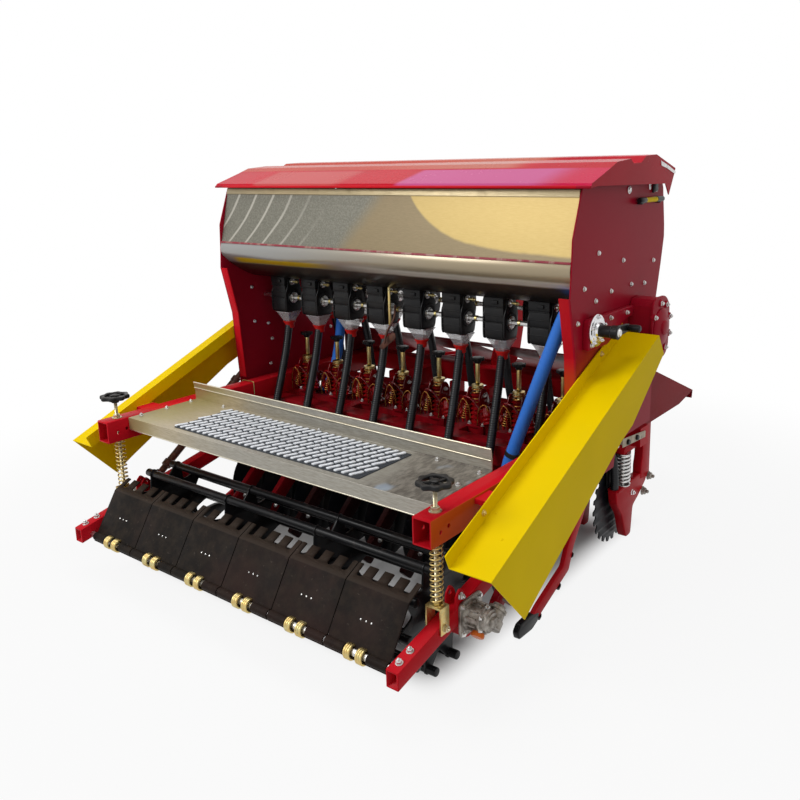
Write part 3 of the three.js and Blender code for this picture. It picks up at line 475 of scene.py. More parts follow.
# Each finish by its short name. hand_over() takes these names.
LOOKS = {
    # This red carries painted light beside the yellow guard and painted shade out at the sides.
    "red": paint("red_powder_coat", RED, tinted=guard_glow),
    # The frame's red carries painted shade deep inside the frame.
    "frame_red": paint("frame_red_powder_coat", RED, tinted=frame_shade),
    # The lid's red carries painted reflections and a painted sheen.
    "lid_red": paint("lid_red_powder_coat", (0.50, 0.007, 0.022), tinted=lid_painted_reflections, rough=0.2),
    "shade_red": paint("shaded_red_powder_coat", (0.30, 0.005, 0.012), rough=0.2, deep=0.4,
                       tinted=painted_arm_shade),
    "gloss": paint("wet_red_lacquer", (0.40, 0.006, 0.010), dusty=0.02, rough=0.10, deep=0.25,
                   coat=0.6, chips=0.0),
    # Painted shade: a darker copy of the red for the front hood, which sits in shade.
    "hood_shade_red": paint("hood_shade_red_paint", (0.27, 0.006, 0.012), dusty=0.22, rough=0.4),
    "yellow": paint("yellow_powder_coat", YELLOW, dust=(0.42, 0.34, 0.05), dusty=0.05, rough=0.34,
                    worn=(0.40, 0.30, 0.02), chips=0.3, deep=0.93, tinted=guard_tab, level=0.03),
    # Painted reflections on both box sheets.
    "box_sheet": seed_box_sheet("stainless_box_sheet"),
    "roll_sheet": roll_sheet("stainless_roll_sheet"),
    "fold_sheet": sheet_steel("stainless_fold_sheet", (0.42, 0.35, 0.22), (0.30, 0.24, 0.14),
                              rough=0.3, tan=0.4),
    "seam": dashed_seam("red_seam"),
    "inner_sheet": sheet_steel("stainless_inner_sheet", (0.52, 0.50, 0.45), (0.32, 0.30, 0.27),
                               rough=0.34),
    "step_sheet": deck_sheet("stainless_step_sheet"),
    # Painted highlight along the step's folds.
    "fold_line": sheet_steel("fold_painted_highlight", (0.72, 0.68, 0.55), (0.55, 0.50, 0.40), rough=0.3,
                             tan=0.2),
    # Painted highlight on the tread's teeth, and painted shade for its slots.
    "tread": sheet_steel("tread_teeth_painted_highlight", (0.95, 0.97, 1.0), (0.72, 0.76, 0.82), rough=0.26,
                         tan=0.0, metallic=0.1),
    "tread_slot_shade": sheet_steel("tread_slot_painted_shade", (0.030, 0.036, 0.046), (0.014, 0.017, 0.022),
                             rough=0.5, tan=0.0, metallic=0.2),
    "gold": bright_plate("yellow_zinc", (0.66, 0.47, 0.17), (0.60, 0.54, 0.26), 0.28),
    "bronze": bright_plate("bronze_spring", (0.40, 0.13, 0.035), (0.55, 0.33, 0.08), 0.25, 0.3),
    "pale_gold": bright_plate("pale_zinc", (0.55, 0.47, 0.30), (0.62, 0.58, 0.44), 0.28),
    "cream": cast_metal("cream_block", (0.66, 0.58, 0.46), (0.46, 0.38, 0.28), 0.5, 0.0),
    "zinc": bright_plate("bright_zinc", (0.60, 0.60, 0.60), (0.74, 0.73, 0.70), 0.26),
    "chrome": bright_plate("chrome_plate", (0.78, 0.78, 0.79), (0.66, 0.66, 0.67), 0.12, 0.1),
    "plastic": moulded("black_moulding", (0.010, 0.010, 0.011), 0.36, 0.10),
    "hose": ribbed_rubber("black_hose_rubber"),
    "clear": clear_plastic("clear_funnel_plastic"),
    "blue": moulded("blue_pipe", (0.045, 0.22, 0.80), 0.26, 0.06, 120.0),
    "orange": moulded("orange_plug", (0.75, 0.16, 0.015), 0.35, 0.1),
    "clamp": moulded("red_clamp", (0.62, 0.014, 0.012), 0.35, 0.1),
    "scale": mill_scale("mill_scale_steel"),
    "black": black_steel("black_roller_paint"),
    "disc": black_steel("dark_disc_steel", (0.007, 0.008, 0.011), (0.11, 0.11, 0.12), 0.25, 0.36),
    "cast": cast_metal("cast_aluminium", (0.44, 0.41, 0.37), (0.16, 0.14, 0.12), 0.42, 0.75),
    "iron": cast_metal("brown_lacquered_tube", (0.13, 0.045, 0.025), (0.06, 0.022, 0.014), 0.45,
                       0.35),
}


# ---------- studio ----------
def lamp(name, size, power, place, target):
    data = bpy.data.lights.new(name, "AREA")
    data.shape, data.size, data.size_y = "RECTANGLE", size[0], size[1]
    data.energy = power
    made = bpy.data.objects.new(name, data)
    made.location = place
    made.rotation_mode = "QUATERNION"
    made.rotation_quaternion = (Vector(target) - Vector(place)).to_track_quat("-Z", "Y")
    bpy.context.scene.collection.objects.link(made)


def shown_white(finish):
    """1 for the camera, for mirrored rays and for rays through glass."""
    seen = [finish.node("LightPath", {}, output=o)
            for o in ("Is Camera Ray", "Is Glossy Ray", "Is Transmission Ray")]
    return seen[0].most(seen[1]).most(seen[2])


def light_studio():
    world = bpy.data.worlds.new("studio")
    world.use_nodes = True
    bpy.context.scene.world = world
    sky = Finish.__new__(Finish)
    sky.tree = world.node_tree
    sky.tree.nodes.clear()
    strength = 0.40 + shown_white(sky) * 0.60
    back = sky.node("Background", {}, (1, 1, 1), strength)
    out = sky.tree.nodes.new("ShaderNodeOutputWorld")
    sky.tree.links.new(back.socket, out.inputs["Surface"])
    lamp("key", (2.4, 2.4), 190, (-2.6, -5.2, 4.6), (0.1, -0.2, 0.7))
    lamp("side", (3.0, 2.0), 8, (5.0, -2.6, 2.6), (0, 0, 0.6))
    lamp("top", (3.5, 2.5), 85, (0.3, -0.4, 5.0), (0, 0, 0.6))
    bpy.context.scene.view_settings.view_transform = "Standard"


FLOOR_SIZE, FLOOR_DROP = 60, 0.0015  # metres
FLOOR_GREY = (0.60, 0.60, 0.60)


def lay_floor():
    """A pale floor that fades into the white behind it, with the real shadow under the machine."""
    bpy.ops.object.select_all(action="DESELECT")
    bpy.ops.mesh.primitive_plane_add(size=FLOOR_SIZE, location=(0, 0, -FLOOR_DROP))
    floor = bpy.context.object
    floor.name = "floor"
    look = Finish("pale_floor")
    away = look.node("VectorMath", {"operation": "LENGTH"}, look.here,
                     output="Value").above(1.7, 3.2)
    x, y, _ = look.parts(look.here)
    under = (1.0 - x.maths("ABSOLUTE", x).above(0.66, 0.82)) * (1.0 - y.above(0.42, 0.70))
    under = under * y.above(-0.94, -0.76)
    pale = look.node("BsdfDiffuse", {}, FLOOR_GREY)
    white = look.node("Emission", {}, (1, 1, 1), 1.0)
    share = (0.90 + away * 0.10) * (1.0 - under * 0.97) * shown_white(look)
    look.node_out(look.node("MixShader", {}, share, pale, white))
    floor.data.materials.append(look.material)


light_studio()
lay_floor()


# ---------- the fixed model's own pieces ----------
NODE_LOOKS = {
    "lid_red": ["lid"],
    "frame_red": ["main_frame"],
    "red": ["platform_arm", "side_panel", "seed_opener_gang", "front_opener_gang", "roller_arm",
            "transmission_case", "headstock"],
    "hood_shade_red": ["front_hood"],
    "yellow": ["guard"],
    "box_sheet": ["hopper_rear_panel", "hopper_front_panel"],
    "inner_sheet": ["hopper_floor"],
    "step_sheet": ["platform"],
    "gold": ["depth_screw", "depth_spring"],
    "plastic": ["seed_meter_bank", "fertiliser_meter_bank", "crank"],
    "hose": ["seed_tube"],
    "blue": ["drain_pipe"],
    "scale": ["scraper"],
    "black": ["roller"],
    "disc": ["opener_disc", "front_disc"],
    "cast": ["gearbox"],
    "iron": ["drive_shaft"],
}


def stem_of(name):
    """A node's name without its side or its number."""
    head, _, tail = name.rpartition("_")
    return head if tail in SIDES or tail.isdigit() else name


def dress_nodes():
    look_of = {stem: look for look, stems in NODE_LOOKS.items() for stem in stems}
    for name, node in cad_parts.items():
        node.data.materials.clear()
        node.data.materials.append(LOOKS[look_of[stem_of(name)]])


def soften_nodes(width=1.6):
    """Folded and sawn edges are never sharp: each node's edges are rounded a little."""
    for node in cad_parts.values():
        weld = node.modifiers.new("weld", "WELD")
        weld.merge_threshold = 0.00002
        round_off = node.modifiers.new("round_off", "BEVEL")
        round_off.width = width * MM
        round_off.segments = 2
        round_off.limit_method = "ANGLE"
        round_off.angle_limit = math.radians(32)
        round_off.use_clamp_overlap = True


dress_nodes()
soften_nodes()


# ---------- tools of the bench ----------
ALONG = {
    "x": Matrix(((0, 0, 1), (1, 0, 0), (0, 1, 0))).to_4x4(),
         # a drawing in Y and Z, its depth along X
    "y": Matrix(((1, 0, 0), (0, 0, -1), (0, 1, 0))).to_4x4(),
         # a drawing in X and Z, its depth along -Y
    "z": Matrix.Identity(4),  # a drawing in X and Y, its depth along Z
}


TURNED = Matrix.Rotation(math.pi, 4, "X")  # for a piece that faces the other way


def clear_bench():
    if bpy.context.object and bpy.context.object.mode != "OBJECT":
        bpy.ops.object.mode_set(mode="OBJECT")
    bpy.ops.object.select_all(action="DESELECT")


def pick(*chosen):
    clear_bench()
    for piece in chosen:
        piece.select_set(True)
    bpy.context.view_layer.objects.active = chosen[0]


def work_on(piece):
    pick(piece)
    bpy.ops.object.mode_set(mode="EDIT")
    bpy.ops.mesh.select_all(action="SELECT")


def close_up():
    """The mesh that is open for editing gets its faces outwards and is closed."""
    bpy.ops.mesh.normals_make_consistent(inside=False)
    bpy.ops.object.mode_set(mode="OBJECT")


def from_curve(curve):
    """A curve's drawing as a mesh piece."""
    drawing = bpy.data.objects.new(curve.name, curve)
    bpy.context.scene.collection.objects.link(drawing)
    pick(drawing)
    bpy.ops.object.convert(target="MESH")
    return bpy.context.object


def smooth(piece, degrees=34):
    pick(piece)
    bpy.ops.object.shade_smooth_by_angle(angle=math.radians(degrees))
    return piece


def true_up(piece):
    """Its faces point outwards."""
    work_on(piece)
    close_up()
    return piece


def apply_all(piece):
    pick(piece)
    for modifier in list(piece.modifiers):
        bpy.ops.object.modifier_apply(modifier=modifier.name)
    return piece


def fix_place(piece, matrix):
    """The piece goes to its place, and its place goes into its mesh."""
    piece.matrix_world = matrix @ piece.matrix_world
    pick(piece)
    bpy.ops.object.transform_apply(location=True, rotation=True, scale=True)
    return piece


def join(*chosen):
    if len(chosen) > 1:
        pick(*chosen)
        bpy.ops.object.join()
    return chosen[0]


def turned(profile, sides=24, degrees=34):
    """A turned piece about Z, from pairs of height and radius, lowest first."""
    clear_bench()
    z, r = profile[0]
    bpy.ops.mesh.primitive_circle_add(vertices=sides, radius=r, fill_type="NGON",
                                      location=(0, 0, z))
    piece = bpy.context.object
    bpy.ops.object.transform_apply(location=True)
    work_on(piece)
    for height, radius in profile[1:]:
        bpy.ops.mesh.extrude_region_move(TRANSFORM_OT_translate={"value": (0, 0, height - z)})
        if radius != r:
            share = radius / r
            bpy.ops.transform.resize(value=(share, share, 1), center_override=(0, 0, height))
        z, r = height, radius
    bpy.ops.mesh.select_all(action="SELECT")
    close_up()
    return smooth(piece, degrees)


def rounded_bar(length, radius, sides=20, edge=1.5):
    return turned([(0, radius - edge), (edge * 0.3, radius - edge * 0.3), (edge, radius),
                   (length - edge, radius),
                   (length - edge * 0.3, radius - edge * 0.3), (length, radius - edge)], sides)


def block(x, y, z, edge=1.5, segments=2):
    """A block between two values on each axis, its edges rounded."""
    clear_bench()
    size = [b - a for a, b in (x, y, z)]
    middle = [(a + b) / 2 for a, b in (x, y, z)]
    bpy.ops.mesh.primitive_cube_add(size=1, location=middle, scale=size)
    piece = bpy.context.object
    bpy.ops.object.transform_apply(location=True, rotation=True, scale=True)
    work_on(piece)
    bpy.ops.mesh.bevel(offset=edge, offset_type="OFFSET", segments=segments, affect="EDGES")
    bpy.ops.object.mode_set(mode="OBJECT")
    return smooth(piece)


def arc(centre, radius, start, end, steps):
    """Points round a circle, in degrees."""
    angles = [math.radians(start + (end - start) * i / steps) for i in range(steps + 1)]
    return [(centre[0] + radius * math.cos(a), centre[1] + radius * math.sin(a)) for a in angles]


def round_hole(centre, radius, steps=16):
    return arc(centre, radius, 0, 360, steps)[:-1]


def rounded(corners, radius, steps=3):
    """An outline with its corners rounded."""
    line = []
    for i, corner in enumerate(corners):
        here = Vector(corner)
        before = (Vector(corners[i - 1]) - here)
        after = (Vector(corners[(i + 1) % len(corners)]) - here)
        reach = min(radius, before.length / 2.1, after.length / 2.1)
        a, b = here + before.normalized() * reach, here + after.normalized() * reach
        for k in range(steps + 1):
            t = k / steps
            line.append(tuple(a * (1 - t) ** 2 + here * 2 * t * (1 - t) + b * t ** 2))
    return line


def plate(outlines, thickness, edge=0.8, steps=1):
    """A plate from z = 0 up. The first outline is its edge and the others are its holes."""
    curve = bpy.data.curves.new("drawing", "CURVE")
    curve.dimensions, curve.fill_mode = "2D", "BOTH"
    curve.extrude = thickness / 2 - edge
    curve.bevel_depth, curve.bevel_resolution, curve.offset = edge, steps, -edge
    for outline in outlines:
        spline = curve.splines.new("POLY")
        spline.points.add(len(outline) - 1)
        for point, (a, b) in zip(spline.points, outline):
            point.co = (a, b, 0, 1)
        spline.use_cyclic_u = True
    piece = from_curve(curve)
    piece.matrix_world = Matrix.Translation((0, 0, thickness / 2))
    bpy.ops.object.transform_apply(location=True)
    work_on(piece)
    bpy.ops.mesh.remove_doubles(threshold=0.01)
    close_up()
    return smooth(piece)


def bent_outline(points, thickness):
    """The outline of a folded sheet along a line, its thickness to the left of the line."""
    line = [Vector(p) for p in points]
    left = []
    for i, here in enumerate(line):
        into = (here - line[i - 1]).normalized() if i else None
        out = (line[i + 1] - here).normalized() if i < len(line) - 1 else None
        first, second = into or out, out or into
        normal = Vector((-first.y - second.y, first.x + second.x)).normalized()
        left.append(here + normal * (thickness / normal.dot(Vector((-first.y, first.x)))))
    return [tuple(p) for p in line] + [tuple(p) for p in reversed(left)]


def coil(radius, wire, turns, height, sides=8, per_turn=20):
    """An open coil spring about Z from z = 0."""
    clear_bench()
    bpy.ops.mesh.primitive_circle_add(vertices=sides, radius=wire, location=(radius, 0, wire),
                                      rotation=(math.pi / 2, 0, 0))
    piece = bpy.context.object
    bpy.ops.object.transform_apply(location=True, rotation=True)
    screw = piece.modifiers.new("screw", "SCREW")
    screw.angle = 2 * math.pi
    screw.screw_offset = (height - 2 * wire) / turns
    screw.iterations = turns
    screw.steps = screw.render_steps = per_turn
    screw.use_merge_vertices = True
    screw.merge_threshold = 0.001
    apply_all(piece)
    work_on(piece)
    bpy.ops.mesh.fill_holes(sides=sides)
    close_up()
    return smooth(piece, 60)


def threaded(radius, depth, pitch, length, sides=14):
    """A threaded rod about Z from z = 0."""
    curve = bpy.data.curves.new("thread", "CURVE")
    curve.dimensions = "3D"
    spline = curve.splines.new("POLY")
    spline.points.add(2)
    for point, (r, z) in zip(spline.points,
                             ((radius, 0), (radius - depth, pitch / 2), (radius, pitch))):
        point.co = (r, 0, z, 1)
    piece = from_curve(curve)
    screw = piece.modifiers.new("screw", "SCREW")
    screw.angle, screw.screw_offset = 2 * math.pi, pitch
    screw.iterations = max(1, int(length / pitch) - 1)
    screw.steps = screw.render_steps = sides
    screw.use_merge_vertices = True
    screw.merge_threshold = 0.001
    apply_all(piece)
    work_on(piece)
    bpy.ops.mesh.remove_doubles(threshold=0.001)
    bpy.ops.mesh.fill_holes(sides=0)
    close_up()
    return smooth(piece, 20)


def pipe(points, radius, resolution=3, steps=6):
    """A round pipe or hose along a smooth line through points."""
    knots = [Vector(p) for p in points]
    knots = [knots[0] * 2 - knots[1], *knots, knots[-1] * 2 - knots[-2]]
    line = []
    for a, b, c, d in zip(knots, knots[1:], knots[2:], knots[3:]):
        for t in [i / steps for i in range(steps)]:
            line.append((b * 2 + (c - a) * t + (a * 2 - b * 5 + c * 4 - d) * t ** 2 +
                         (b * 3 - a - c * 3 + d) * t ** 3) / 2)
    line.append(knots[-2])
    curve = bpy.data.curves.new("pipe", "CURVE")
    curve.dimensions = "3D"
    curve.bevel_depth, curve.bevel_resolution, curve.use_fill_caps = radius, resolution, True
    spline = curve.splines.new("POLY")
    spline.points.add(len(line) - 1)
    for point, place in zip(spline.points, line):
        point.co = (*place, 1)
    piece = from_curve(curve)
    work_on(piece)
    bpy.ops.mesh.remove_doubles(threshold=0.001)
    close_up()
    return smooth(piece, 50)


def at(x=0, y=0, z=0, along="z", turn=0.0, tip=0.0, scale=1.0):
    """A place for a copy: turned about its Z, tipped about its X, laid along an axis, moved."""
    return (Matrix.Translation((x, y, z)) @ ALONG[along] @ Matrix.Rotation(tip, 4, "X") @
            Matrix.Rotation(turn, 4, "Z") @ Matrix.Scale(scale, 4))


def facing(place, direction, turn=0.0):
    """A place whose Z points in a direction."""
    aim = Vector(direction).normalized().to_track_quat("Z", "Y").to_matrix().to_4x4()
    return Matrix.Translation(place) @ aim @ Matrix.Rotation(turn, 4, "Z")


def mirrored(piece):
    """The same piece for the left side."""
    other = piece.copy()
    other.data = piece.data.copy()
    bpy.context.scene.collection.objects.link(other)
    fix_place(other, Matrix.Scale(-1, 4, (1, 0, 0)))
    return true_up(other)


def copies(master, places, keep=False):
    """One piece made of copies of a master, which is used up."""
    made = []
    for place in places:
        copy = master.copy()
        copy.data = master.data.copy()
        copy.matrix_world = place @ master.matrix_world
        bpy.context.scene.collection.objects.link(copy)
        made.append(copy)
    if not keep:
        bpy.data.objects.remove(master)
    whole = join(*made)
    pick(whole)
    bpy.ops.object.transform_apply(location=True, rotation=True, scale=True)
    return whole


def cut_from(piece, *cutters):
    for cutter in cutters:
        tool = piece.modifiers.new("cut", "BOOLEAN")
        tool.operation, tool.solver, tool.object = "DIFFERENCE", "EXACT", cutter
        apply_all(piece)
        bpy.data.objects.remove(cutter)
    return piece


TO_FRAME = Matrix.Translation((0, STEP_EDGE, 0)) @ Matrix.Scale(MM, 4)


def hand_over(piece, name, look, body="chassis", instead_of=()):
    """The finished piece goes into the machine's frame, gets its finish and rides on its body."""
    fix_place(piece, TO_FRAME)
    piece.name = piece.data.name = name
    if look:
        piece.data.materials.clear()
        piece.data.materials.append(LOOKS[look])
        for face in piece.data.polygons:
            face.material_index = 0
    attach(piece, body)
    if instead_of:
        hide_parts(*instead_of)
    return piece


def hand_over_pair(piece, stem, look, slot, old=None):
    """The right side's piece and its mirrored fellow. Both replace the node old, by side."""
    for made, side in ((piece, "_right"), (mirrored(piece), "_left")):
        hand_over(made, stem + side, look, instead_of=[old + side] if old else ())


def bolt_head(across=17, height=8, washer=20, nub=6):
    """A hexagon head on its washer, with the end of its thread, standing on z = 0."""
    r = across / 2 / math.cos(math.pi / 6)
    made = [turned([(2.0, r), (2.0 + height * 0.8, r), (2.0 + height, r * 0.86)], 6, 20)]
    if washer:
        made.append(turned([(0, washer / 2), (1.6, washer / 2), (2.1, washer / 2 - 0.5)], 20))
    else:
        fix_place(made[0], Matrix.Translation((0, 0, -2)))
    if nub:
        made.append(turned([(height + 1.9, across * 0.27), (height + nub, across * 0.27),
                            (height + nub + 1, across * 0.2)], 10))
    return join(*made)


# ---------- loading step ----------
def tread_strip():
    """A pressed anti-slip strip: rows of slanted teeth over slots. The teeth are painted near white
    as a painted highlight, and the plate under them near black as painted shade in the slots.
    """
    x0, x1, y0, y1 = -505, 458, 26, 300
    base = plate([rounded([(x0, y0), (x1, y0), (x1, y1), (x0, y1)], 6)], 2.0, 0.5)
    fix_place(base, Matrix.Translation((0, 0, 610.2)))
    # Painted shade: a near-black plate under the teeth stands for the shade in the slots.
    hand_over(base, "step_tread_shade_plate", "tread_slot_shade")
    rows, pitch = 5, 34.0
    deep = (y1 - y0 - 2) / rows
    half = deep / 2
    wave = [(-half, -7), (-half * 0.5, -6), (0, 0), (half * 0.5, 6), (half, 7)]
    outline = [(x - 7.6, y * 0.87) for y, x in wave]
    outline += [(x + 7.6, y * 0.87) for y, x in reversed(wave)]
    tooth = plate([rounded(outline, 5, 2)], 6.4, 2.4, 1)
    places = []
    for row in range(rows):
        y = y0 + 1 + deep * (row + 0.5)
        shift = (row % 2) * pitch / 2
        count = int((x1 - x0 - 20 - shift) / pitch) + 1
        for i in range(count):
            places.append(at(x0 + 11 + shift + i * pitch, y, 612.0))
    # Painted highlight: the teeth are painted near white.
    hand_over(copies(tooth, places), "step_tread", "tread")


def step_fittings():
    """Hems along the step's folds and the bolts that hold it to the box arms."""
    bolt = bolt_head(13, 6, 18, 4)
    spots = [(x, y) for x in (-748, 748) for y in (45, 165, 285)]
    spots += [(x, 308) for x in (-560, 0, 560)]
    bolts = copies(bolt, [at(x, y, 610.1) for x, y in spots])
    hand_over(bolts, "step_bolts", "zinc")
    stations = (-768, -300, 300, 768)
    hem = pipe([(x, 321.5, 685.2) for x in stations], 3.4, 2, 3)
    lip = pipe([(x, 2.2, 560.6) for x in stations], 3.0, 2, 3)
    bead = pipe([(x, 322.4, z) for x, z in zip(stations, (662, 659, 652, 646))], 2.9, 2, 3)
    # Painted highlight: the hems and bead, folds of the same sheet, are painted paler than it.
    hand_over(join(hem, lip, bead), "step_hems", "fold_line")


tread_strip()
step_fittings()


# ---------- box arms and depth screws ----------
ARM = {"inner": 770, "outer": 840, "bottom": 522, "top": 610, "rear": -93, "front": 1469}
SCREW = {"x": 805.5, "y": -28}


def box_arm():
    outer = block((ARM["inner"], ARM["outer"]), (ARM["rear"], ARM["front"]),
                  (ARM["bottom"], ARM["top"]), 3, 2)
    hollow = block((776, 834), (-140, 1520), (528, 604), 2, 1)
    piece = cut_from(outer, hollow)
    for y in (-48, -10):
        hole = fix_place(turned([(0, 7), (120, 7)], 16), at(750, y, 560 + (y + 48) * 0.18, "x"))
        cut_from(piece, hole)
    slot = block((795, 816), (-37, -19), (596, 640), 4, 2)
    cut_from(piece, slot)
    return smooth(piece)


def handwheel():
    """A moulded wheel with eight finger lobes, on five spokes."""
    lobes = []
    for i in range(96):
        a = 2 * math.pi * i / 96
        r = 53.5 + 4.0 * math.cos(8 * a)
        lobes.append((r * math.cos(a), r * math.sin(a)))
    rim = fix_place(plate([lobes, round_hole((0, 0), 37, 40)], 17, 6.0, 3), at(0, 0, -8.5))
    spoke = block((12, 42), (-5.5, 5.5), (-7, 3), 2.2)
    spokes = copies(spoke, [at(turn=math.radians(72 * i)) for i in range(5)])
    hub = turned([(-24, 13), (-22, 15), (-4, 16.5), (6, 15), (9, 11), (10, 6)], 24)
    return join(rim, spokes, hub)


def depth_screw_set():
    """Handwheel, screw, nut, yoke, coil and box arm of each side."""
    x, y = SCREW["x"], SCREW["y"]
    wheel = fix_place(handwheel(), at(x, y, 698))
    rod = fix_place(threaded(7, 1.0, 2.5, 378), at(x, y, 310))
    washer = turned([(0, 20), (2.5, 20), (3, 19)], 28)
    nut = turned([(3, 14), (13, 14), (14.5, 12.2)], 6, 20)
    stack = fix_place(join(washer, nut), at(x, y, 610.2))
    nut_low = fix_place(turned([(0, 14), (9, 14), (10, 12.4)], 6, 20), at(x, y, 315))
    legs = [(-29, 228), (-29, 315), (29, 315), (29, 228), (23.4, 228), (23.4, 309), (-23.4, 309),
            (-23.4, 228)]
    yoke = plate([legs], 42, 1.0)
    fix_place(yoke, at(x, y + 21, 0, "y"))
    pin = bolt_head(19, 9, 25, 6)
    pins = copies(pin, [at(x + 29, y, 246, "x"), at(x - 29, y, 246, "x") @ TURNED])
    spring = fix_place(coil(18.5, 2.6, 12, 205), at(x, y, 316))
    seats = copies(turned([(0, 23), (2.2, 23), (2.6, 22.4)], 28), [at(x, y, 315.4), at(x, y, 519)])
    gold = join(nut_low, yoke, seats)
    steel = join(rod, stack, pins)
    for pair in (
        (wheel, "handwheel", "plastic", "black_plastic", None),
        (gold, "depth_screw_yoke", "gold", "gold_zinc", "depth_screw"),
        (steel, "depth_screw_rod", "pale_gold", "gold_zinc", None),
        (spring, "depth_coil", "gold", "gold_zinc", "depth_spring"),
        (box_arm(), "box_arm", "red", "red_paint", "platform_arm"),
    ):
        hand_over_pair(*pair)


depth_screw_set()


# ---------- roller, its arms and its gearboxes ----------
AXLE = {"y": 105.0, "z": 193.69}
SLOPE = 0.2251
ARM_TIP = (-240.9, 210.0)  # the roller arm's rear end, at its top


def arm_top(y):
    return ARM_TIP[1] + SLOPE * (y - ARM_TIP[0])


def roller_arm():
    tube = [(ARM_TIP[0], arm_top(ARM_TIP[0])), (ARM_TIP[0], arm_top(ARM_TIP[0]) - 57),
            (830, arm_top(830) - 57), (830, 441.4), (787, 441.4)]
    piece = fix_place(plate([rounded(tube, 3, 2)], 45, 2.4, 2), at(783, 0, 0, "x"))
    mouth = [(y, arm_top(y) - drop)
             for y, drop in ((-300, 5.5), (-110, 5.5), (-110, 51.5), (-300, 51.5))]
    cut_from(piece, fix_place(plate([mouth], 34, 1.0), at(788.5, 0, 0, "x")))
    ear = [(55, 262), (57, 200), (78, 158), (105, 148), (132, 158), (153, 200), (155, 284)]
    bearing = fix_place(plate([rounded(ear, 10)], 45, 2), at(783, 0, 0, "x"))
    lug = [(36, 262), (38, 312), (60, 334), (82, 312), (92, 276)]
    lugs = [fix_place(plate([rounded(lug, 12, 4), round_hole((60, 308), 8)], 6, 1),
                      at(x, 0, 0, "x"))
            for x in (784, 821)]
    housing = fix_place(turned([(0, 44), (6, 44), (8, 36), (16, 34), (18, 26)], 28),
                        at(783, AXLE["y"], AXLE["z"], "x") @
                        TURNED)
    return join(piece, bearing, housing, *lugs)


def roller_arm_bolts():
    top = facing((805.5, -207, arm_top(-207) + 0.1), (0, -SLOPE, 1))
    next_one = facing((805.5, -158, arm_top(-158) + 0.1), (0, -SLOPE, 1))
    pin = at(828, 60, 308, "x")
    return copies(bolt_head(17, 9, 24, 7), [top, next_one, pin])


def roller_cage():
    bars, flange = [], []
    pitch, count = 183.0, 10
    for i in range(count):
        a = math.radians(36 * (i + 0.5))
        centre = (AXLE["y"] + pitch * math.sin(a), AXLE["z"] - pitch * math.cos(a))
        bars.append(at(-742, *centre, "x"))
        out = math.degrees(a) - 90
        flange += arc(centre, 19.0, out - 105, out + 105, 8)
        valley = a + math.radians(18)
        flange.append((AXLE["y"] + 132 * math.sin(valley), AXLE["z"] - 132 * math.cos(valley)))
    star = plate([rounded(flange, 16, 3)], 8, 1.0)
    stars = copies(star, [at(x - 4, 0, 0, "x") for x in (-705, -235, 235, 705)])
    rods = copies(rounded_bar(1484, 15, 20, 2.5), bars)
    shaft = fix_place(turned([(0, 17), (2, 20), (66, 20), (67, 30), (150, 30), (151, 22),
                              (1525, 22), (1526, 30),
                              (1609, 30), (1610, 20), (1674, 20), (1676, 17)], 24),
                      at(-838, AXLE["y"], AXLE["z"], "x"))
    collars = copies(turned([(0, 44), (10, 44), (12, 34), (22, 32)], 24),
                     [at(x, AXLE["y"], AXLE["z"], "x") for x in (-701, -231, 239, 683)])
    hand_over(join(rods, stars, shaft, collars), "roller_cage", "black", "roller",
              ["roller"])


def shrunk(piece):
    """The gearbox is drawn a quarter too large. This brings a piece of it to size."""
    seat = Matrix.Translation((828.4, AXLE["y"], 224))
    return fix_place(piece, seat @ Matrix.Scale(0.80, 4) @ seat.inverted())


def bevel_box():
    """An angle gearbox: flange, ribbed barrel, end cover and the neck that faces up the shaft."""
    y, z = AXLE["y"], 228.0
    flange = fix_place(plate([rounded([(32, 156), (178, 156), (178, 302), (32, 302)], 26, 5)], 11,
                             1.6, 2),
                       at(828.4, 0, 0, "x"))
    barrel = fix_place(turned([(0, 62), (10, 60), (16, 51), (58, 49), (62, 55), (70, 55), (72, 47),
                               (90, 45),
                               (93, 38), (99, 36), (100, 22), (110, 20), (112, 15)], 36),
                       at(838, y, z, "x"))
    rib = block((46, 60), (-3, 3), (8, 54), 1.6)
    ribs = copies(rib, [at(838, y, z, "x", turn=math.radians(30 * i + 10)) for i in range(12)])
    neck = fix_place(turned([(0, 44), (34, 42), (40, 36), (66, 33), (68, 38), (78, 38), (80, 27),
                             (92, 26)], 32),
                     facing((916, 112, 198), (0, 0.806, 0.592)))
    foot = fix_place(turned([(0, 34), (26, 32), (30, 28), (40, 27)], 28),
                     facing((890, 100, 214), (0.10, -0.72, -0.68)))
    return shrunk(join(flange, barrel, ribs, neck, foot))


def bevel_box_bolts():
    y, z = AXLE["y"], 228.0
    spots = [at(839.4, a, b, "x") for a in (48, 162) for b in (172, 286)]
    spots += [at(908, y + 50 * math.cos(t), z + 50 * math.sin(t), "x")
              for t in [math.radians(60 * i + 25) for i in range(6)]]
    return shrunk(copies(bolt_head(15, 8, 22, 0), spots))


def drive_shaft():
    start, end = Vector((918, 190.3, 253.7)), Vector((918, 1077.7, 905))
    long = (end - start).length
    profile = [(0, 22), (34, 22), (40, 15), (64, 15), (70, 22), (96, 22), (100, 17),
               (long * 0.52, 17),
               (long * 0.52 + 2, 20), (long * 0.52 + 26, 20), (long * 0.52 + 28, 12.5),
               (long - 100, 12.5),
               (long - 96, 22), (long - 70, 22), (long - 64, 15), (long - 40, 15), (long - 34, 22),
               (long, 22)]
    return fix_place(turned(profile, 24), facing(start, end - start))


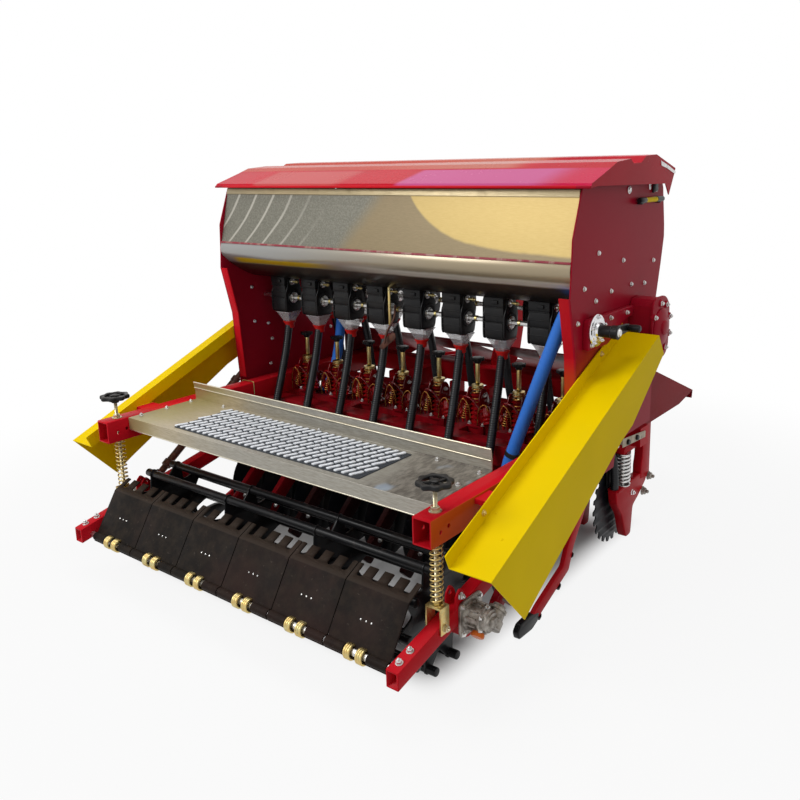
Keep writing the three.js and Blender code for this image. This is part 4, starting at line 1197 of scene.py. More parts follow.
def rear_pairs():
    plug = turned([(0, 24), (4, 24), (6, 27), (15, 27), (19, 22)], 28)
    plug = shrunk(fix_place(plug, facing((894, 71, 187), (0.10, -0.72, -0.68))))
    sets = (
        (roller_arm(), "lift_arm", "red", "red_paint", "roller_arm"),
        (roller_arm_bolts(), "lift_arm_bolts", "zinc", "gold_zinc", None),
        (bevel_box(), "bevel_box", "cast", "raw_aluminium", "gearbox"),
        (bevel_box_bolts(), "bevel_box_bolts", "zinc", "gold_zinc", None),
        (plug, "bevel_box_plug", "orange", "red_paint", None),
        (drive_shaft(), "telescopic_shaft", "iron", "brown_tube", "drive_shaft"),
    )
    for pair in sets:
        hand_over_pair(*pair)


rear_pairs()
roller_cage()


# ---------- scraper ----------
FLAP_PITCH = 252.667
SCRAPER_SHAFT = (-194.9, 175.04)
FLAP_LINE = [(-202.1, 157.0), (-94.05, 332.07), (-34.0, 362.0)]


def scraper_flaps():
    lean = math.atan2(30, 60)
    sheet = fix_place(plate([bent_outline(FLAP_LINE, 5.4)], 249, 0.9), at(-124.5, 0, 0, "x"))
    slots = [fix_place(plate([rounded([(-13, 27), (13, 27), (13, 90), (-13, 90)], 12, 5)], 40, 0.5),
                       at(x, -94.05, 322, tip=lean)) for x in (-93, -31, 31, 93)]
    flap = cut_from(sheet, *slots)
    rolls = [fix_place(turned([(0, 15), (1, 16.5), (77, 16.5), (78, 15)], 24),
                       at(x, *SCRAPER_SHAFT, "x"))
             for x in (-124, 46)]
    flap = join(flap, *rolls)
    middles = [(i - 2.5) * FLAP_PITCH for i in range(6)]
    hand_over(copies(flap, [at(x) for x in middles]), "scraper_flaps", "scale",
              instead_of=["scraper"])
    down = Vector((0, -108.05, -175.07)).normalized()
    face = Vector((0, -175.07, 108.05)).normalized()
    crease = Vector((0, -94.05, 332.07)) + face * 5.4
    rivet = turned([(0, 3.0), (1.2, 2.8), (1.9, 1.4)], 10)
    dots = [crease + down * 92 + Vector((x + dx, 0, 0)) for x in middles for dx in (-24, -2, 19)]
    hand_over(copies(rivet, [facing(p, face) for p in dots]), "scraper_rivets", "zinc")
    wind = coil(19.5, 5.2, 3, 34, 10, 20)
    coils = copies(wind, [at(x + dx, -197, 175.04, "x") for x in middles for dx in (-41, 7)])
    hand_over(coils, "scraper_coils", "gold")
    shaft = fix_place(rounded_bar(1565, 12, 20), at(-782.5, *SCRAPER_SHAFT, "x"))
    hand_over(shaft, "scraper_shaft", "zinc")


scraper_flaps()


# ---------- sides: cases, crank, panels and guards ----------
CASE_CENTRE = (1154, 972)
CASE_BOLTS = [math.radians(a) for a in (20, 60, 100, 150, 205, 250, 300, 340)]
GUARD_FOOT, GUARD_RUN = (-96, 488), (1116, 482)


def round_case(x):
    """Places round the chain case's cover, on an ellipse."""
    y, z = CASE_CENTRE
    return [at(x, y + 82 * math.cos(t), z + 96 * math.sin(t), "x") for t in CASE_BOLTS]


def chain_case():
    outline = [(1078, 880), (1108, 858), (1200, 858), (1230, 890), (1230, 1050), (1190, 1085),
               (1098, 1085), (1078, 1065)]
    body = fix_place(plate([rounded(outline, 34, 6)], 96, 6, 3), at(895.4, 0, 0, "x"))
    wide = [(1071, 876), (1105, 851), (1203, 851), (1237, 886), (1237, 1053), (1192, 1092),
            (1096, 1092), (1071, 1068)]
    rim = fix_place(plate([rounded(wide, 36, 6)], 9, 2, 2), at(985, 0, 0, "x"))
    cover = fix_place(turned([(0, 74), (6, 74), (10, 66), (14, 40), (16, 30), (21, 28), (23, 22)],
                             40),
                      at(992, *CASE_CENTRE, "x"))
    bosses = copies(turned([(0, 15), (12, 14), (14, 11)], 20), round_case(986))
    low = [(700, 952), (856, 952), (1004, 1022), (1079, 1026), (1079, 1062), (700, 1062)]
    cover_low = fix_place(plate([rounded(low, 16, 4)], 21.6, 3, 2), at(895.4, 0, 0, "x"))
    return join(body, rim, cover, bosses, cover_low)


def chain_case_bolts():
    spots = round_case(999) + [at(917.1, y, z, "x")
                               for y, z in ((722, 972), (722, 1044), (870, 1046), (1010, 1044))]
    return copies(bolt_head(13, 7, 18, 4), spots)


def calibration_crank():
    y, z = 755, 1020
    disc = fix_place(turned([(0, 56), (5, 57), (8, 55), (9, 44), (12, 42), (13, 30), (20, 28)], 44),
                     at(917.8, y, z, "x"))
    bolt = bolt_head(11, 6, 15, 4)
    bolts = copies(bolt, [at(926, y + 49 * math.cos(t), z + 49 * math.sin(t), "x")
                          for t in [math.radians(72 * i + 18) for i in range(5)]])
    hand_over(join(disc, bolts), "crank_flange", "chrome")
    hub = fix_place(turned([(0, 21), (40, 21), (44, 24), (66, 24), (68, 20)], 28),
                    at(936, y, z, "x"))
    arm = fix_place(plate([rounded([(y - 22, z - 20), (y + 18, z - 20), (y + 112, z - 13),
                                    (y + 120, z),
                                    (y + 112, z + 13), (y + 18, z + 20), (y - 22, z + 20)], 12, 4)],
                          13, 3, 2),
                    at(980, 0, 0, "x"))
    grip = fix_place(turned([(0, 9), (6, 12.5), (30, 13.5), (44, 12.5), (48, 8)], 24),
                     at(991, y + 100, z, "x"))
    hand_over(join(hub, arm, grip), "crank_handle", "plastic",
              instead_of=["crank"])
    cap = fix_place(turned([(0, 15), (2, 15), (4, 12), (7, 11)], 24), at(1003, y, z, "x"))
    hand_over(cap, "crank_cap", "zinc")


PANEL_BOLTS = {
    "right": [(807, 1280), (1011, 1236), (1295, 1209), (1213, 1129), (1090, 1138), (916, 1134),
              (703, 1168), (792, 1115), (660, 1055), (1290, 760), (760, 610), (1010, 520)],
    "left": [(775, 1035), (780, 869), (863, 847), (881, 767), (862, 644), (1290, 760), (1213, 1129),
             (916, 1134)],
}


PANEL_FACES = (889.9, 895.1)  # inner and outer face, from the middle


def panel_bolts():
    for side, sign in SIDES.items():
        to_right = [at(PANEL_FACES[sign > 0] * sign, y, z, "x") for y, z in PANEL_BOLTS[side]]
        to_left = [at(PANEL_FACES[sign < 0] * sign, y, z, "x") @ TURNED
                   for y, z in PANEL_BOLTS[side]]
        places = to_right + to_left if sign > 0 else to_left + to_right
        bolts = copies(bolt_head(13, 5, 18, 3), places)
        hand_over(bolts, "panel_bolts_" + side, "zinc")


def prop_latch():
    """The sprung prop for the lid, clipped to the right panel, and the ring beside it."""
    x, z = 911, 1447
    rod = fix_place(turned([(0, 9), (3, 11), (52, 11), (55, 9)], 20),
                    facing((x, 1104, z), (0, 1, 0)))
    cap = fix_place(turned([(0, 8), (2, 10.5), (62, 10.5), (66, 8)], 20),
                    facing((x, 1262, z), (0, 1, 0)))
    clips = [block((895.2, x + 4), (y - 7, y + 7), (z - 15, z - 8), 1.5) for y in (1128, 1296)]
    hand_over(join(rod, cap, *clips), "prop_ends", "plastic")
    body = fix_place(turned([(0, 8), (2, 9.5), (104, 9.5), (106, 8)], 20),
                     facing((x, 1158, z), (0, 1, 0)))
    hand_over(body, "prop_body", "yellow")
    ring = fix_place(turned([(0, 14), (3, 14), (4, 10), (7, 9)], 20), at(895.2, 1044, 1487, "x"))
    plate_up = fix_place(plate([rounded([(1268, 1474), (1306, 1474), (1306, 1540), (1268, 1540)],
                                        5)], 3, 0.6),
                         at(895.2, 0, 0, "x"))
    hand_over(join(ring, plate_up), "panel_catch", "zinc")


def along_guard(share):
    """Y and Z on the guard's rear edge, from its foot to its top."""
    return [foot + run * share for foot, run in zip(GUARD_FOOT, GUARD_RUN)]


def guard_bolts():
    spots = [at(904.2, y - 8, z + 26, "x") for y, z in map(along_guard, (0.16, 0.84))]
    return copies(bolt_head(13, 5, 22, 4), spots)


def guard_rivets():
    """Two blind rivets in the guard's skin, painted over."""
    slope = math.atan2(*reversed(GUARD_RUN))
    normal = Vector((0, -math.sin(slope), math.cos(slope)))
    rivet = turned([(0, 4.6), (0.9, 4.2), (1.6, 2.0)], 12)
    spots = [(x, *along_guard(share)) for x, share in ((921, 0.19), (990, 0.12))]
    return copies(rivet, [facing((x, y, z + 0.2), normal) for x, y, z in spots])


def side_pairs():
    for pair in (
        (chain_case(), "chain_case", "red", "red_paint", "transmission_case"),
        (chain_case_bolts(), "chain_case_bolts", "zinc", "gold_zinc", None),
        (guard_bolts(), "guard_bolts", "gold", "gold_zinc", None),
        (guard_rivets(), "guard_rivets", "yellow", "yellow_paint", None),
    ):
        hand_over_pair(*pair)


side_pairs()
calibration_crank()
panel_bolts()
prop_latch()


# ---------- meters, hoses and the drain pipe ----------
METER_BANKS = {"seed": 853, "fertiliser": 1152}
HOSE_ROUTES = {
    "seed": [(-26, 853, 875), (-20, 812, 730), (0, 731, 545), (12, 668, 400), (15, 640, 362),
             (15, 640, 332.3)],
    "fertiliser": [(-26, 1152, 876), (0, 1155, 760), (12, 1165, 620), (38, 1178, 500),
                   (96, 1190, 400), (109, 1190, 307), (109, 1190, 262)],
}


def meter_case(y):
    """A meter's black case: a throat, a waist and a mouth in stacked steps, between two cheeks."""
    throat = block((-56, 34), (y - 50, y + 44), (1054, 1091.6), 3)
    waist = block((-54, 33), (y - 47, y + 48), (994, 1051), 3)
    mouth = block((-50, 32), (y - 50, y + 46), (934, 991), 3)
    core = block((-46, 30), (y - 43, y + 42), (926, 1088), 1)
    ribs = [block((-56, 34), (y - 51, y - 40), (z, z + 3.5), 1) for z in (1050.5, 1020, 990.5, 962)]
    cheek = [(y - 46, 926), (y + 40, 926), (y + 50, 960), (y + 50, 1030), (y + 34, 1062),
             (y + 34, 1088), (y - 30, 1088), (y - 36, 1046), (y - 50, 1020), (y - 50, 950)]
    cheeks = [fix_place(plate([rounded(cheek, 12, 3)], 6, 1.2), at(x, 0, 0, "x"))
              for x in (34, -60)]
    barrel = fix_place(turned([(0, 36), (2, 38), (108, 38), (110, 36)], 28), at(-66, y, 992, "x"))
    catch = block((-12, 12), (y - 57, y - 46), (1066, 1080), 2)
    return join(throat, waist, mouth, core, *ribs, *cheeks, barrel, catch)


def meter_plates(y):
    big = fix_place(turned([(0, 25), (2.2, 25), (3, 23.5), (3, 12), (6, 11), (7, 8)], 28),
                    at(44, y - 6, 992, "x"))
    small = fix_place(turned([(0, 16), (2, 16), (3, 14), (3, 8), (8, 7)], 22),
                      at(40, y - 8, 1068, "x"))
    bolts = copies(bolt_head(7, 4, 9, 0),
                   [at(46, y - 6 + 18 * math.cos(t), 992 + 18 * math.sin(t), "x")
                                           for t in [math.radians(a) for a in (45, 135, 225, 315)]])
    return join(big, small, bolts)


def meter_pins(y):
    sleeve = fix_place(turned([(0, 7), (22, 7), (24, 12), (34, 12), (36, 7), (46, 7)], 16),
                       at(50, y, 992, "x"))
    pin = fix_place(turned([(0, 5), (18, 5), (20, 8), (26, 8), (27, 5), (34, 4)], 14),
                    at(46, y - 8, 1068, "x"))
    return join(sleeve, pin)


def clear_funnel(y):
    clear_bench()
    bpy.ops.mesh.primitive_cone_add(vertices=4, radius1=19 * math.sqrt(2),
                                    radius2=41 * math.sqrt(2), depth=46,
                                    end_fill_type="NOTHING", rotation=(0, 0, math.pi / 4),
                                    location=(0, y, 900))
    piece = bpy.context.object
    bpy.ops.object.transform_apply(location=True, rotation=True)
    work_on(piece)
    bpy.ops.mesh.subdivide(number_cuts=2)
    bpy.ops.mesh.solidify(thickness=1.6)
    close_up()
    lip = plate([rounded([(-43, y - 43), (43, y - 43), (43, y + 43), (-43, y + 43)], 6),
                 rounded([(-39, y - 39), (39, y - 39), (39, y + 39), (-39, y + 39)], 4)], 4, 0.8)
    return join(smooth(piece, 30), fix_place(lip, at(0, 0, 921)))


def meter_bank(name, y):
    places = [at(x - 26) for x in ROWS]
    low = [at(x - 26, y, 844) for x in ROWS]
    hand_over(copies(meter_case(y), places), name + "_meter_cases", "plastic",
              instead_of=[name + "_meter_bank"])
    hand_over(copies(meter_plates(y), places), name + "_meter_plates", "zinc")
    hand_over(copies(meter_pins(y), places), name + "_meter_pins", "gold")
    hand_over(copies(clear_funnel(y), places), name + "_meter_funnels", "clear")
    clamp = turned([(0, 20.5), (3, 21.5), (16, 21.5), (20, 23), (30, 30), (34, 30.5), (34, 27),
                    (22, 20)], 24)
    hand_over(copies(clamp, low), name + "_hose_clamps", "clamp")
    shaft = fix_place(turned([(0, 8), (1, 10), (1778, 10), (1779, 8)], 6, 20),
                      at(-889.6, y, 992, "x"))
    hand_over(shaft, name + "_meter_shaft", "zinc")
    hose = pipe(HOSE_ROUTES[name], 18, 2, 7)
    hand_over(copies(hose, [at(x) for x in ROWS]), name + "_hoses", "hose",
              instead_of=["seed_tube_%d" % n for n in range(1, 9)] if name == "seed" else ())


for bank, bank_y in METER_BANKS.items():
    meter_bank(bank, bank_y)


def drain():
    route = [(861.7, 700, 1109), (848, 700, 1098), (821.7, 700, 1062), (760, 700, 909),
             (690, 700, 727), (622, 700, 549), (600, 700, 486), (592, 700, 446)]
    hand_over(pipe(route, 25, 4, 6), "drain_hose", "blue",
              instead_of=["drain_pipe"])
    seat = block((566, 618), (712, 749.6), (455, 500), 3)
    strap = fix_place(turned([(0, 27), (1, 28.5), (17, 28.5), (18, 27)], 28),
                      facing((612, 700, 516), (0.33, 0, 0.94)))
    hand_over(join(seat, strap), "drain_clip", "plastic")
    lever = pipe([(-54, 838, 1010), (-40, 812, 960), (-64, 792, 902), (-70, 778, 852)], 5, 2, 5)
    blade = fix_place(plate([rounded([(-12, -62), (10, -58), (26, 40), (4, 52), (-10, 20)], 8)], 4,
                            0.8),
                      at(-66, 800, 868, "y", turn=-0.75))
    hand_over(join(lever, blade), "meter_lever", "iron")
    spindle = fix_place(rounded_bar(170, 6, 14), at(-58, 806, 930))
    hand_over(spindle, "meter_spindle", "gold")


def spare_lines():
    """The front box's drain, and the wire hangers on the step's arms."""
    route = [(-570, 1062, 1090), (-578, 1055, 900), (-598, 1045, 730), (-606, 1010, 610),
             (-606, 950, 522)]
    hand_over(pipe(route, 24, 3, 6), "front_drain_hose", "blue")
    hanger = pipe([(766, 646, 556), (766, 646, 606), (772, 646, 614), (805, 646, 614.5),
                   (838, 646, 614), (844, 646, 606), (844, 646, 556)], 2.4, 2, 4)
    hand_over_pair(hanger, "hose_hanger", "gold", "gold_zinc")


drain()
spare_lines()


# ---------- seed openers ----------
PIN_Y, PIN_Z = 620.0, 171.6


def opener_arm():
    outline = [(894, 441.2), (860, 424.7), (560, 300), (350, 112), (395, 68), (600, 245),
               (900, 365), (975, 424.7), (975, 441.2)]
    arm = fix_place(plate([rounded(outline, 14, 3)], 25, 3, 2), at(35, 0, 0, "x"))
    gusset = fix_place(plate([rounded([(760, 372), (900, 420), (894, 441), (940, 441), (940, 380),
                                       (840, 338)], 10)],
                             8, 1.2), at(20, 0, 0, "x"))
    pad = block((-25, 60), (884, 979), (522.2, 533.6), 2.5)
    strap = block((35, 60), (883.2, 894.6), (431.8, 533.6), 2)
    return join(arm, gusset, pad, strap)


def outer_arm():
    """The drag arm outside the last opener, on the end of its toolbar."""
    bar = [(905, 436), (868, 436), (700, 214), (668, 150), (486, 78), (430, 46), (446, 12),
           (520, 44), (712, 118), (746, 196), (905, 404)]
    arm = fix_place(plate([rounded(bar, 9, 3)], 18, 2.4, 2), at(836, 0, 0, "x"))
    foot = block((826, 854), (868, 962), (424, 441.5), 2)
    return join(arm, foot)


def outer_boot():
    shoe = [(352, 40), (360, 12), (446, 8), (490, 24), (494, 52), (440, 66), (372, 62)]
    return fix_place(plate([rounded(shoe, 9, 3)], 24, 4, 2), at(831, 0, 0, "x"))


def outer_bolts():
    spots = [facing((845, 735, 168), (0, 0.9, -0.45)), facing((845, 640, 86), (0, 0.45, -0.9)),
             facing((845, 500, 34), (0, 0.45, -0.9))]
    return copies(bolt_head(20, 12, 28, 10), spots)


def opener_boot():
    outline = [(612, 332), (560, 120), (540, 40), (590, 40), (640, 160), (668, 332)]
    boot = fix_place(plate([rounded(outline, 12, 3)], 41, 5, 2), at(-5, 0, 0, "x"))
    collar = fix_place(turned([(0, 24), (4, 26), (20, 26), (24, 22), (28, 22)], 20),
                       at(15, 640, 304))
    return join(boot, collar)


def glossy_yoke():
    """The bracket round an adjuster: cheeks, a web, a cup for the spring and a curved strap."""
    cheek = [(896, 533), (972, 533), (976, 600), (962, 660), (940, 684), (914, 684), (898, 650),
             (888, 590)]
    hole = round_hole((932, 652), 9, 14)
    cheeks = [fix_place(plate([rounded(cheek, 16, 3), hole], 5, 1), at(x, 0, 0, "x"))
              for x in (-34, 29)]
    web = block((-33, 33), (966, 972), (534, 640), 1.5)
    bellows = [(0, 36), (4, 38)]
    for i in range(6):
        bellows += [(10 + 19 * i, 24), (16 + 19 * i, 25), (22 + 19 * i, 36 - i)]
    cup = fix_place(turned([*bellows, (125, 22)], 24, 50), at(0, 935, 534))
    hoop = pipe([(-52, 902, 534), (-56, 896, 600), (-36, 888, 648), (8, 884, 640), (44, 890, 590),
                 (58, 900, 534)],
                4.5, 2, 6)
    lug = fix_place(plate([rounded([(-20, 0), (20, 0), (24, 30), (0, 52), (-24, 30)], 12),
                           round_hole((0, 28), 8, 14)], 6, 1.2), at(0, 886, 446, "y"))
    nose = fix_place(turned([(0, 22), (10, 24), (28, 20), (42, 12), (46, 9)], 24),
                     facing((-62, 935, 566), (0, -1, 0.3)))
    links = [fix_place(plate([rounded([(-16, 0), (16, 0), (22, 70), (0, 96), (-22, 70)], 14),
                              round_hole((0, 66), 10, 14)], 7, 1.5),
                       at(x, y, 522, "y", tip=0.2, turn=t))
             for x, y, t in ((68, 905, 0.25), (-66, 1000, -0.3), (44, 1010, 0.2))]
    drum = fix_place(turned([(0, 20), (4, 26), (12, 20), (20, 26), (28, 20), (36, 26), (44, 20),
                             (70, 18), (76, 12)],
                            22, 50), facing((86, 890, 545), (-0.35, 0.2, 1)))
    return join(*cheeks, web, cup, hoop, lug, nose, *links, drum)


def adjuster_screw():
    sleeve = fix_place(turned([(0, 7), (4, 9.5), (94, 9.5), (98, 8)], 20), at(0, 935, 700))
    thread = fix_place(threaded(8, 1.3, 6, 150), at(0, 935, 550))
    flange = [(0, 14), (2, 25), (7, 25), (8, 15), (14, 14), (15, 12)]
    washers = copies(turned(flange, 26), [at(0, 935, 682), at(0, 935, 697, tip=math.pi)])
    nut = copies(bolt_head(24, 10, 0, 0), [at(0, 935, 668), at(0, 935, 604)])
    return join(sleeve, thread, washers, nut)


def adjuster_knob():
    lobes = 7
    outline = []
    for i in range(lobes):
        outline += arc((21 * math.cos(2 * math.pi * i / lobes),
                        21 * math.sin(2 * math.pi * i / lobes)), 8.5,
                       360 * i / lobes - 80, 360 * i / lobes + 80, 5)
    top = fix_place(plate([outline], 13, 3, 2), at(0, 935, 798))
    hub = fix_place(turned([(0, 12), (3, 14), (12, 15), (24, 15), (26, 13)], 20), at(0, 935, 785.5))
    return join(top, hub)


def yoke_bolts():
    spots = [at(34, 932, 652, "x"), at(34, 930, 566, "x"),
             at(-34, 932, 652, "x") @ TURNED,
             at(60, 600, 250, "x"), at(60, 560, 262, "x"), at(60, 448, 152, "x"),
             at(60, 930, 402, "x")]
    spots += [at(x, y, 533.4) for x in (-16, 50) for y in (896, 966)]
    spots += [facing((x, 883, 470), (0, -1, 0)) for x in (40, 54)]
    return copies(bolt_head(14, 7, 19, 5), spots)


def opener_disc():
    rim = turned([(0, 165), (1.2, 171), (2.0, 171), (4.4, 160), (5.2, 120), (5.8, 46), (6.0, 30)],
                 48, 20)
    blade = fix_place(rim, at(-23, PIN_Y, PIN_Z, "x"))
    hub = fix_place(turned([(0, 20), (2, 30), (20, 30), (22, 26), (28, 24), (28, 14)], 28),
                    at(-38, PIN_Y, PIN_Z, "x"))
    bolts = copies(bolt_head(10, 5, 0, 0),
                   [at(-17.4, PIN_Y + 22 * math.cos(t), PIN_Z + 22 * math.sin(t), "x")
                                            for t in [math.radians(60 * i) for i in range(6)]])
    return join(blade, hub, bolts)


def opener_gang():
    places = [at(x) for x in ROWS]
    strip = block((-760, 760), (883.2, 975), (426.8, 441.2), 2.5)
    hand_over(join(copies(opener_arm(), places), strip), "opener_arms", "shade_red",
              instead_of=["seed_opener_gang"])
    hand_over(copies(opener_boot(), places), "opener_boots", "black")
    hand_over(copies(glossy_yoke(), places), "opener_yokes", "gloss")
    hand_over(copies(adjuster_screw(), places), "opener_screws", "gold")
    hand_over(copies(adjuster_knob(), places), "opener_knobs", "plastic")
    spring = fix_place(coil(24, 2.6, 7, 100, 8, 18), at(0, 935, 584))
    side = fix_place(coil(13, 2.4, 7, 74, 8, 16), facing((-46, 900, 548), (0.25, 0.1, 1)))
    wires = [pipe(line, 2.4, 2, 5) for line in (
        [(-70, 890, 530), (-64, 884, 590), (-40, 882, 640), (-12, 884, 610), (-6, 888, 560)],
        [(30, 886, 534), (40, 880, 600), (66, 886, 628), (84, 892, 590), (78, 900, 536)])]
    hand_over(copies(join(spring, side, *wires), places), "opener_springs", "bronze")
    hand_over(copies(yoke_bolts(), places), "opener_bolts", "zinc")
    for pair in (
        (outer_arm(), "outer_arm", "red", "red_paint"),
        (outer_boot(), "outer_arm_boot", "black", "black_paint"),
        (outer_bolts(), "outer_arm_bolts", "black", "black_paint"),
    ):
        hand_over_pair(*pair)
    axle = fix_place(turned([(0, 9), (2, 12), (40, 12), (42, 9)], 18), at(-42, PIN_Y, PIN_Z, "x"))
    hand_over(copies(axle, places), "opener_axles", "zinc")
    master = opener_disc()
    for n, x in enumerate(ROWS, 1):
        disc = copies(master, [at(x)], keep=n < 8)
        hand_over(disc, "opener_blade_%d" % n, "disc", "opener_disc_%d" % n,
                  ["opener_disc_%d" % n])


opener_gang()


# ---------- fertiliser openers in front ----------
FRONT_X = 70
FRONT_PIN = (1262.0, 186.35)


def front_column():
    leg = [(1428, 526.6), (1428, 340), (1416, 300), (1416, 236), (1510, 222), (1510, 526.6)]
    column = fix_place(plate([rounded(leg, 10, 3)], 40, 4, 2), at(20, 0, 0, "x"))
    boot = [(1495, 262), (1225, 261.7), (1165, 261.7), (1178, 200), (1235, 130), (1280, 15),
            (1330, 15), (1345, 140), (1400, 165), (1480, 215)]
    foot = fix_place(plate([rounded(boot, 16, 3)], 38, 4, 2), at(20, 0, 0, "x"))
    shelf = [(1225, 404), (1475, 404), (1475, 437.6), (1236, 437.6), (1225, 430)]
    top = fix_place(plate([rounded(shelf, 6)], 48, 3, 2), at(15, 0, 0, "x"))
    ledge = fix_place(plate([rounded([(1180, 262), (1300, 262), (1300, 250), (1180, 250)], 4)], 50,
                            2),
                      at(14, 0, 0, "x"))
    return join(column, foot, top, ledge)


def front_block():
    return fix_place(plate([rounded([(1244, 438), (1392, 438), (1392, 470), (1262, 470),
                                     (1244, 456)], 5)], 36, 2.5),
                     at(19, 0, 0, "x"))


def front_spring():
    wind = fix_place(coil(27, 5.4, 8, 137, 10, 20), at(45, 1258, 264))
    seats = copies(turned([(0, 28), (2, 31), (6, 31), (7, 18)], 24),
                   [at(45, 1258, 260), at(45, 1258, 404, tip=math.pi)])
    rod = fix_place(rounded_bar(150, 7, 14), at(45, 1258, 256))
    return join(wind, seats, rod)


def front_bolts():
    spots = [at(57.6, 1330, 205, "x")]
    spots += [facing((39, 1300, 470), (0, 0, 1)), facing((39, 1352, 470), (0, 0, 1))]
    return copies(bolt_head(17, 9, 24, 6), spots)


def front_nuts():
    nut = turned([(0, 20), (3, 20), (4, 16), (15, 15), (17, 11), (18, 8), (27, 7.5), (29, 5)], 12)
    return copies(nut, [at(58, 1502, 226, "x"), at(56, 1448, 172, "x")])


def notched_disc():
    teeth, outline = 24, []
    y, z = FRONT_PIN
    for i in range(teeth):
        for share, radius in ((0.0, 186), (0.30, 186), (0.42, 169), (0.60, 165), (0.78, 169),
                              (0.92, 182)):
            a = 2 * math.pi * (i + share) / teeth
            outline.append((y + radius * math.cos(a), z + radius * math.sin(a)))
    blade = fix_place(plate([outline], 5.6, 1.4), at(-2.8, 0, 0, "x"))
    hub = fix_place(turned([(0, 20), (2, 30), (14, 30), (16, 24), (32, 22), (35, 14)], 28),
                    at(-20, y, z, "x"))
    bolts = copies(bolt_head(9, 4, 0, 0), [at(-6, y + 25 * math.cos(t), z + 25 * math.sin(t), "x") @
                                           TURNED
                                           for t in [math.radians(90 * i) for i in range(4)]])
    return join(blade, hub, bolts)


def front_gang():
    places = [at(x + FRONT_X) for x in ROWS]
    bar = block((-835, 835), (1470, 1549.8), (522.2, 609.8), 5, 3)
    cut_from(bar, block((-900, -788), (1476, 1544), (528, 604), 1),
             block((788, 900), (1476, 1544), (528, 604), 1))
    hand_over(join(copies(front_column(), places), bar), "front_columns", "red",
              instead_of=["front_opener_gang"])
    hand_over(copies(front_block(), places), "front_scraper_blocks", "cream")
    tag = fix_place(plate([rounded([(1064, 496), (1290, 478), (1290, 506), (1068, 531)], 4)], 3,
                          0.8),
                    at(892.0, 0, 0, "x"))
    hand_over(tag, "beam_end_tag", "cream")
    tag_bolt = copies(bolt_head(20, 10, 0, 0),
                      [at(894.8, y, z, "x") for y, z in ((1110, 508), (1196, 503))])
    hand_over(tag_bolt, "beam_end_bolts", "black")
    hand_over(copies(front_spring(), places), "front_springs", "zinc")
    hand_over(copies(front_bolts(), places), "front_bolts", "chrome")
    hand_over(copies(front_nuts(), places), "front_nuts", "cast")
    axle = fix_place(turned([(0, 9), (2, 12), (47, 12), (49, 9)], 18), at(-24, *FRONT_PIN, "x"))
    hand_over(copies(axle, places), "front_axles", "zinc")
    wire = pipe([(8, 1196, 356), (2, 1190, 330), (4, 1196, 270), (0, 1206, 230), (6, 1216, 214)],
                3.2, 2, 5)
    guide = fix_place(plate([rounded([(1166, 400), (1404, 400), (1412, 268), (1170, 268)], 8)], 4.5,
                            1),
                      at(11, 0, 0, "x"))
    hand_over(copies(join(wire, guide), places), "front_guides", "black")
    master = notched_disc()
    for n, x in enumerate(ROWS, 1):
        disc = copies(master, [at(x + FRONT_X)], keep=n < 8)
        hand_over(disc, "front_blade_%d" % n, "disc", "front_disc_%d" % n,
                  ["front_disc_%d" % n])


front_gang()


# ---------- seed box: its lid, hems and the hitch ----------

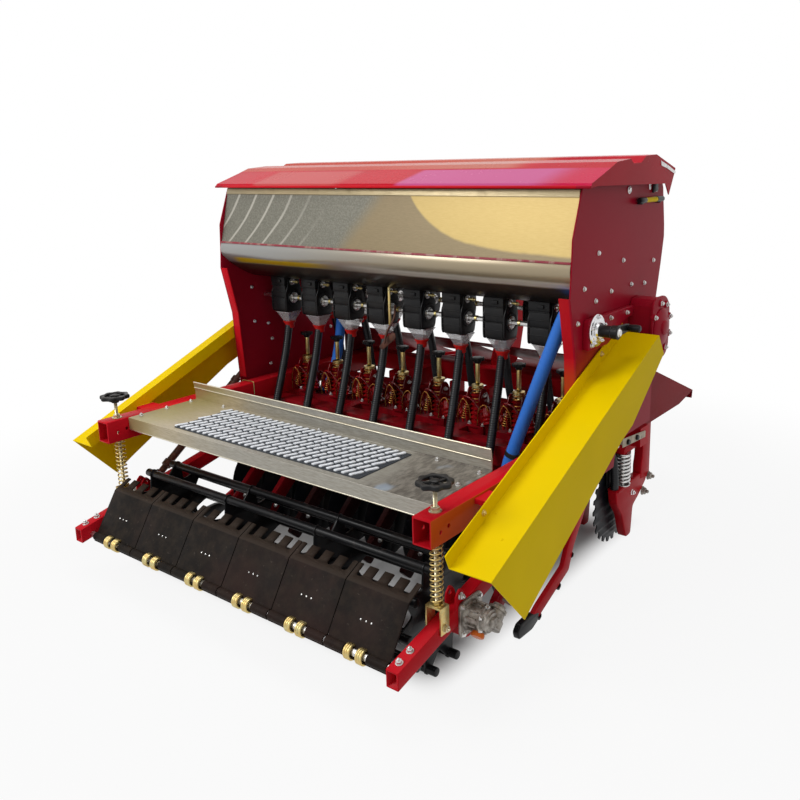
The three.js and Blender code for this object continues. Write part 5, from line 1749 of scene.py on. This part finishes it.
def lid_fittings():
    hem = fix_place(plate([rounded([(643.2, 1503), (650, 1503), (652, 1513), (644, 1511)], 2)],
                          1878, 0.8),
                    at(-939, 0, 0, "x"))
    hand_over(hem, "lid_hem", "red", "lid")
    bolts = copies(bolt_head(13, 5, 18, 3), [facing((x, 1352, 1568.6), (0, 0.25, 0.97)) for x in (
        -700, -660, -20, 20, 660, 700)])
    hand_over(bolts, "lid_bolts", "zinc", "lid")
    wing = [(1222, 1590), (1290, 1574), (1372, 1549), (1366, 1541), (1352, 1543), (1282, 1562),
            (1226, 1572)]
    wings = [fix_place(plate([rounded(wing, 3)], 2.5, 0.6), at(x, 0, 0, "x"))
             for x in (940.2, -942.7)]
    hand_over(join(*wings), "lid_end_plates", "zinc", "lid")


def hopper_roll():
    """The seed box's rolled foot, from its crease to its floor, and the seam above it."""
    outer = [(617.5, 1262), (612, 1250), (609.5, 1234), (612, 1216), (621, 1200), (640, 1181),
             (668, 1160), (704, 1136), (748, 1112), (796, 1092)]
    line = [(y + 3.4, z + 1.6) for y, z in reversed(outer)]
    sheet = fix_place(plate([outer + line], 1778, 0.5), at(-889, 0, 0, "x"))
    hand_over(sheet, "box_roll", "roll_sheet")
    seam = fix_place(plate([rounded([(612.8, 1258), (617.6, 1258), (619.4, 1266), (614.8, 1266)],
                                    1.5)], 1776, 0.5),
                     at(-888, 0, 0, "x"))
    hand_over(seam, "box_seam", "seam")
    band = [(673.4, 1498), (669.4, 1478), (667.4, 1476), (668.4, 1482), (671.2, 1499)]
    top = fix_place(plate([band], 1778, 0.3), at(-889, 0, 0, "x"))
    hand_over(top, "box_top_fold", "fold_sheet")


def hitch_pins():
    for side, sign in SIDES.items():
        x = 412 * sign
        pin = fix_place(turned([(0, 9), (3, 14), (112, 14), (113, 21), (119, 21), (121, 16)], 24),
                        at(x - 56, 1960, 520, "x"))
        ring = coil(15, 2.2, 2, 9, 8, 24)
        ring = fix_place(ring, at(x - 48, 1960, 502, "x"))
        hand_over(join(pin, ring), "hitch_pin_" + side, "zinc")
    top = fix_place(turned([(0, 8), (3, 12.5), (92, 12.5), (93, 19), (99, 19)], 24),
                    at(-50, 1800, 1130, "x"))
    hand_over(top, "top_link_pin", "zinc")


def lid_stay():
    strip = fix_place(plate([rounded([(1224, 1484), (1242, 1484), (1242, 1534), (1224, 1534)], 4)],
                            3, 0.6),
                      at(895.3, 0, 0, "x"))
    hand_over(strip, "stay_strip", "zinc")
    catch = fix_place(plate([rounded([(1256, 1470), (1306, 1478), (1298, 1524), (1262, 1528)], 8)],
                            7, 1.4),
                      at(895.3, 0, 0, "x"))
    hand_over(catch, "stay_catch", "plastic")


lid_fittings()
lid_stay()
hopper_roll()
hitch_pins()
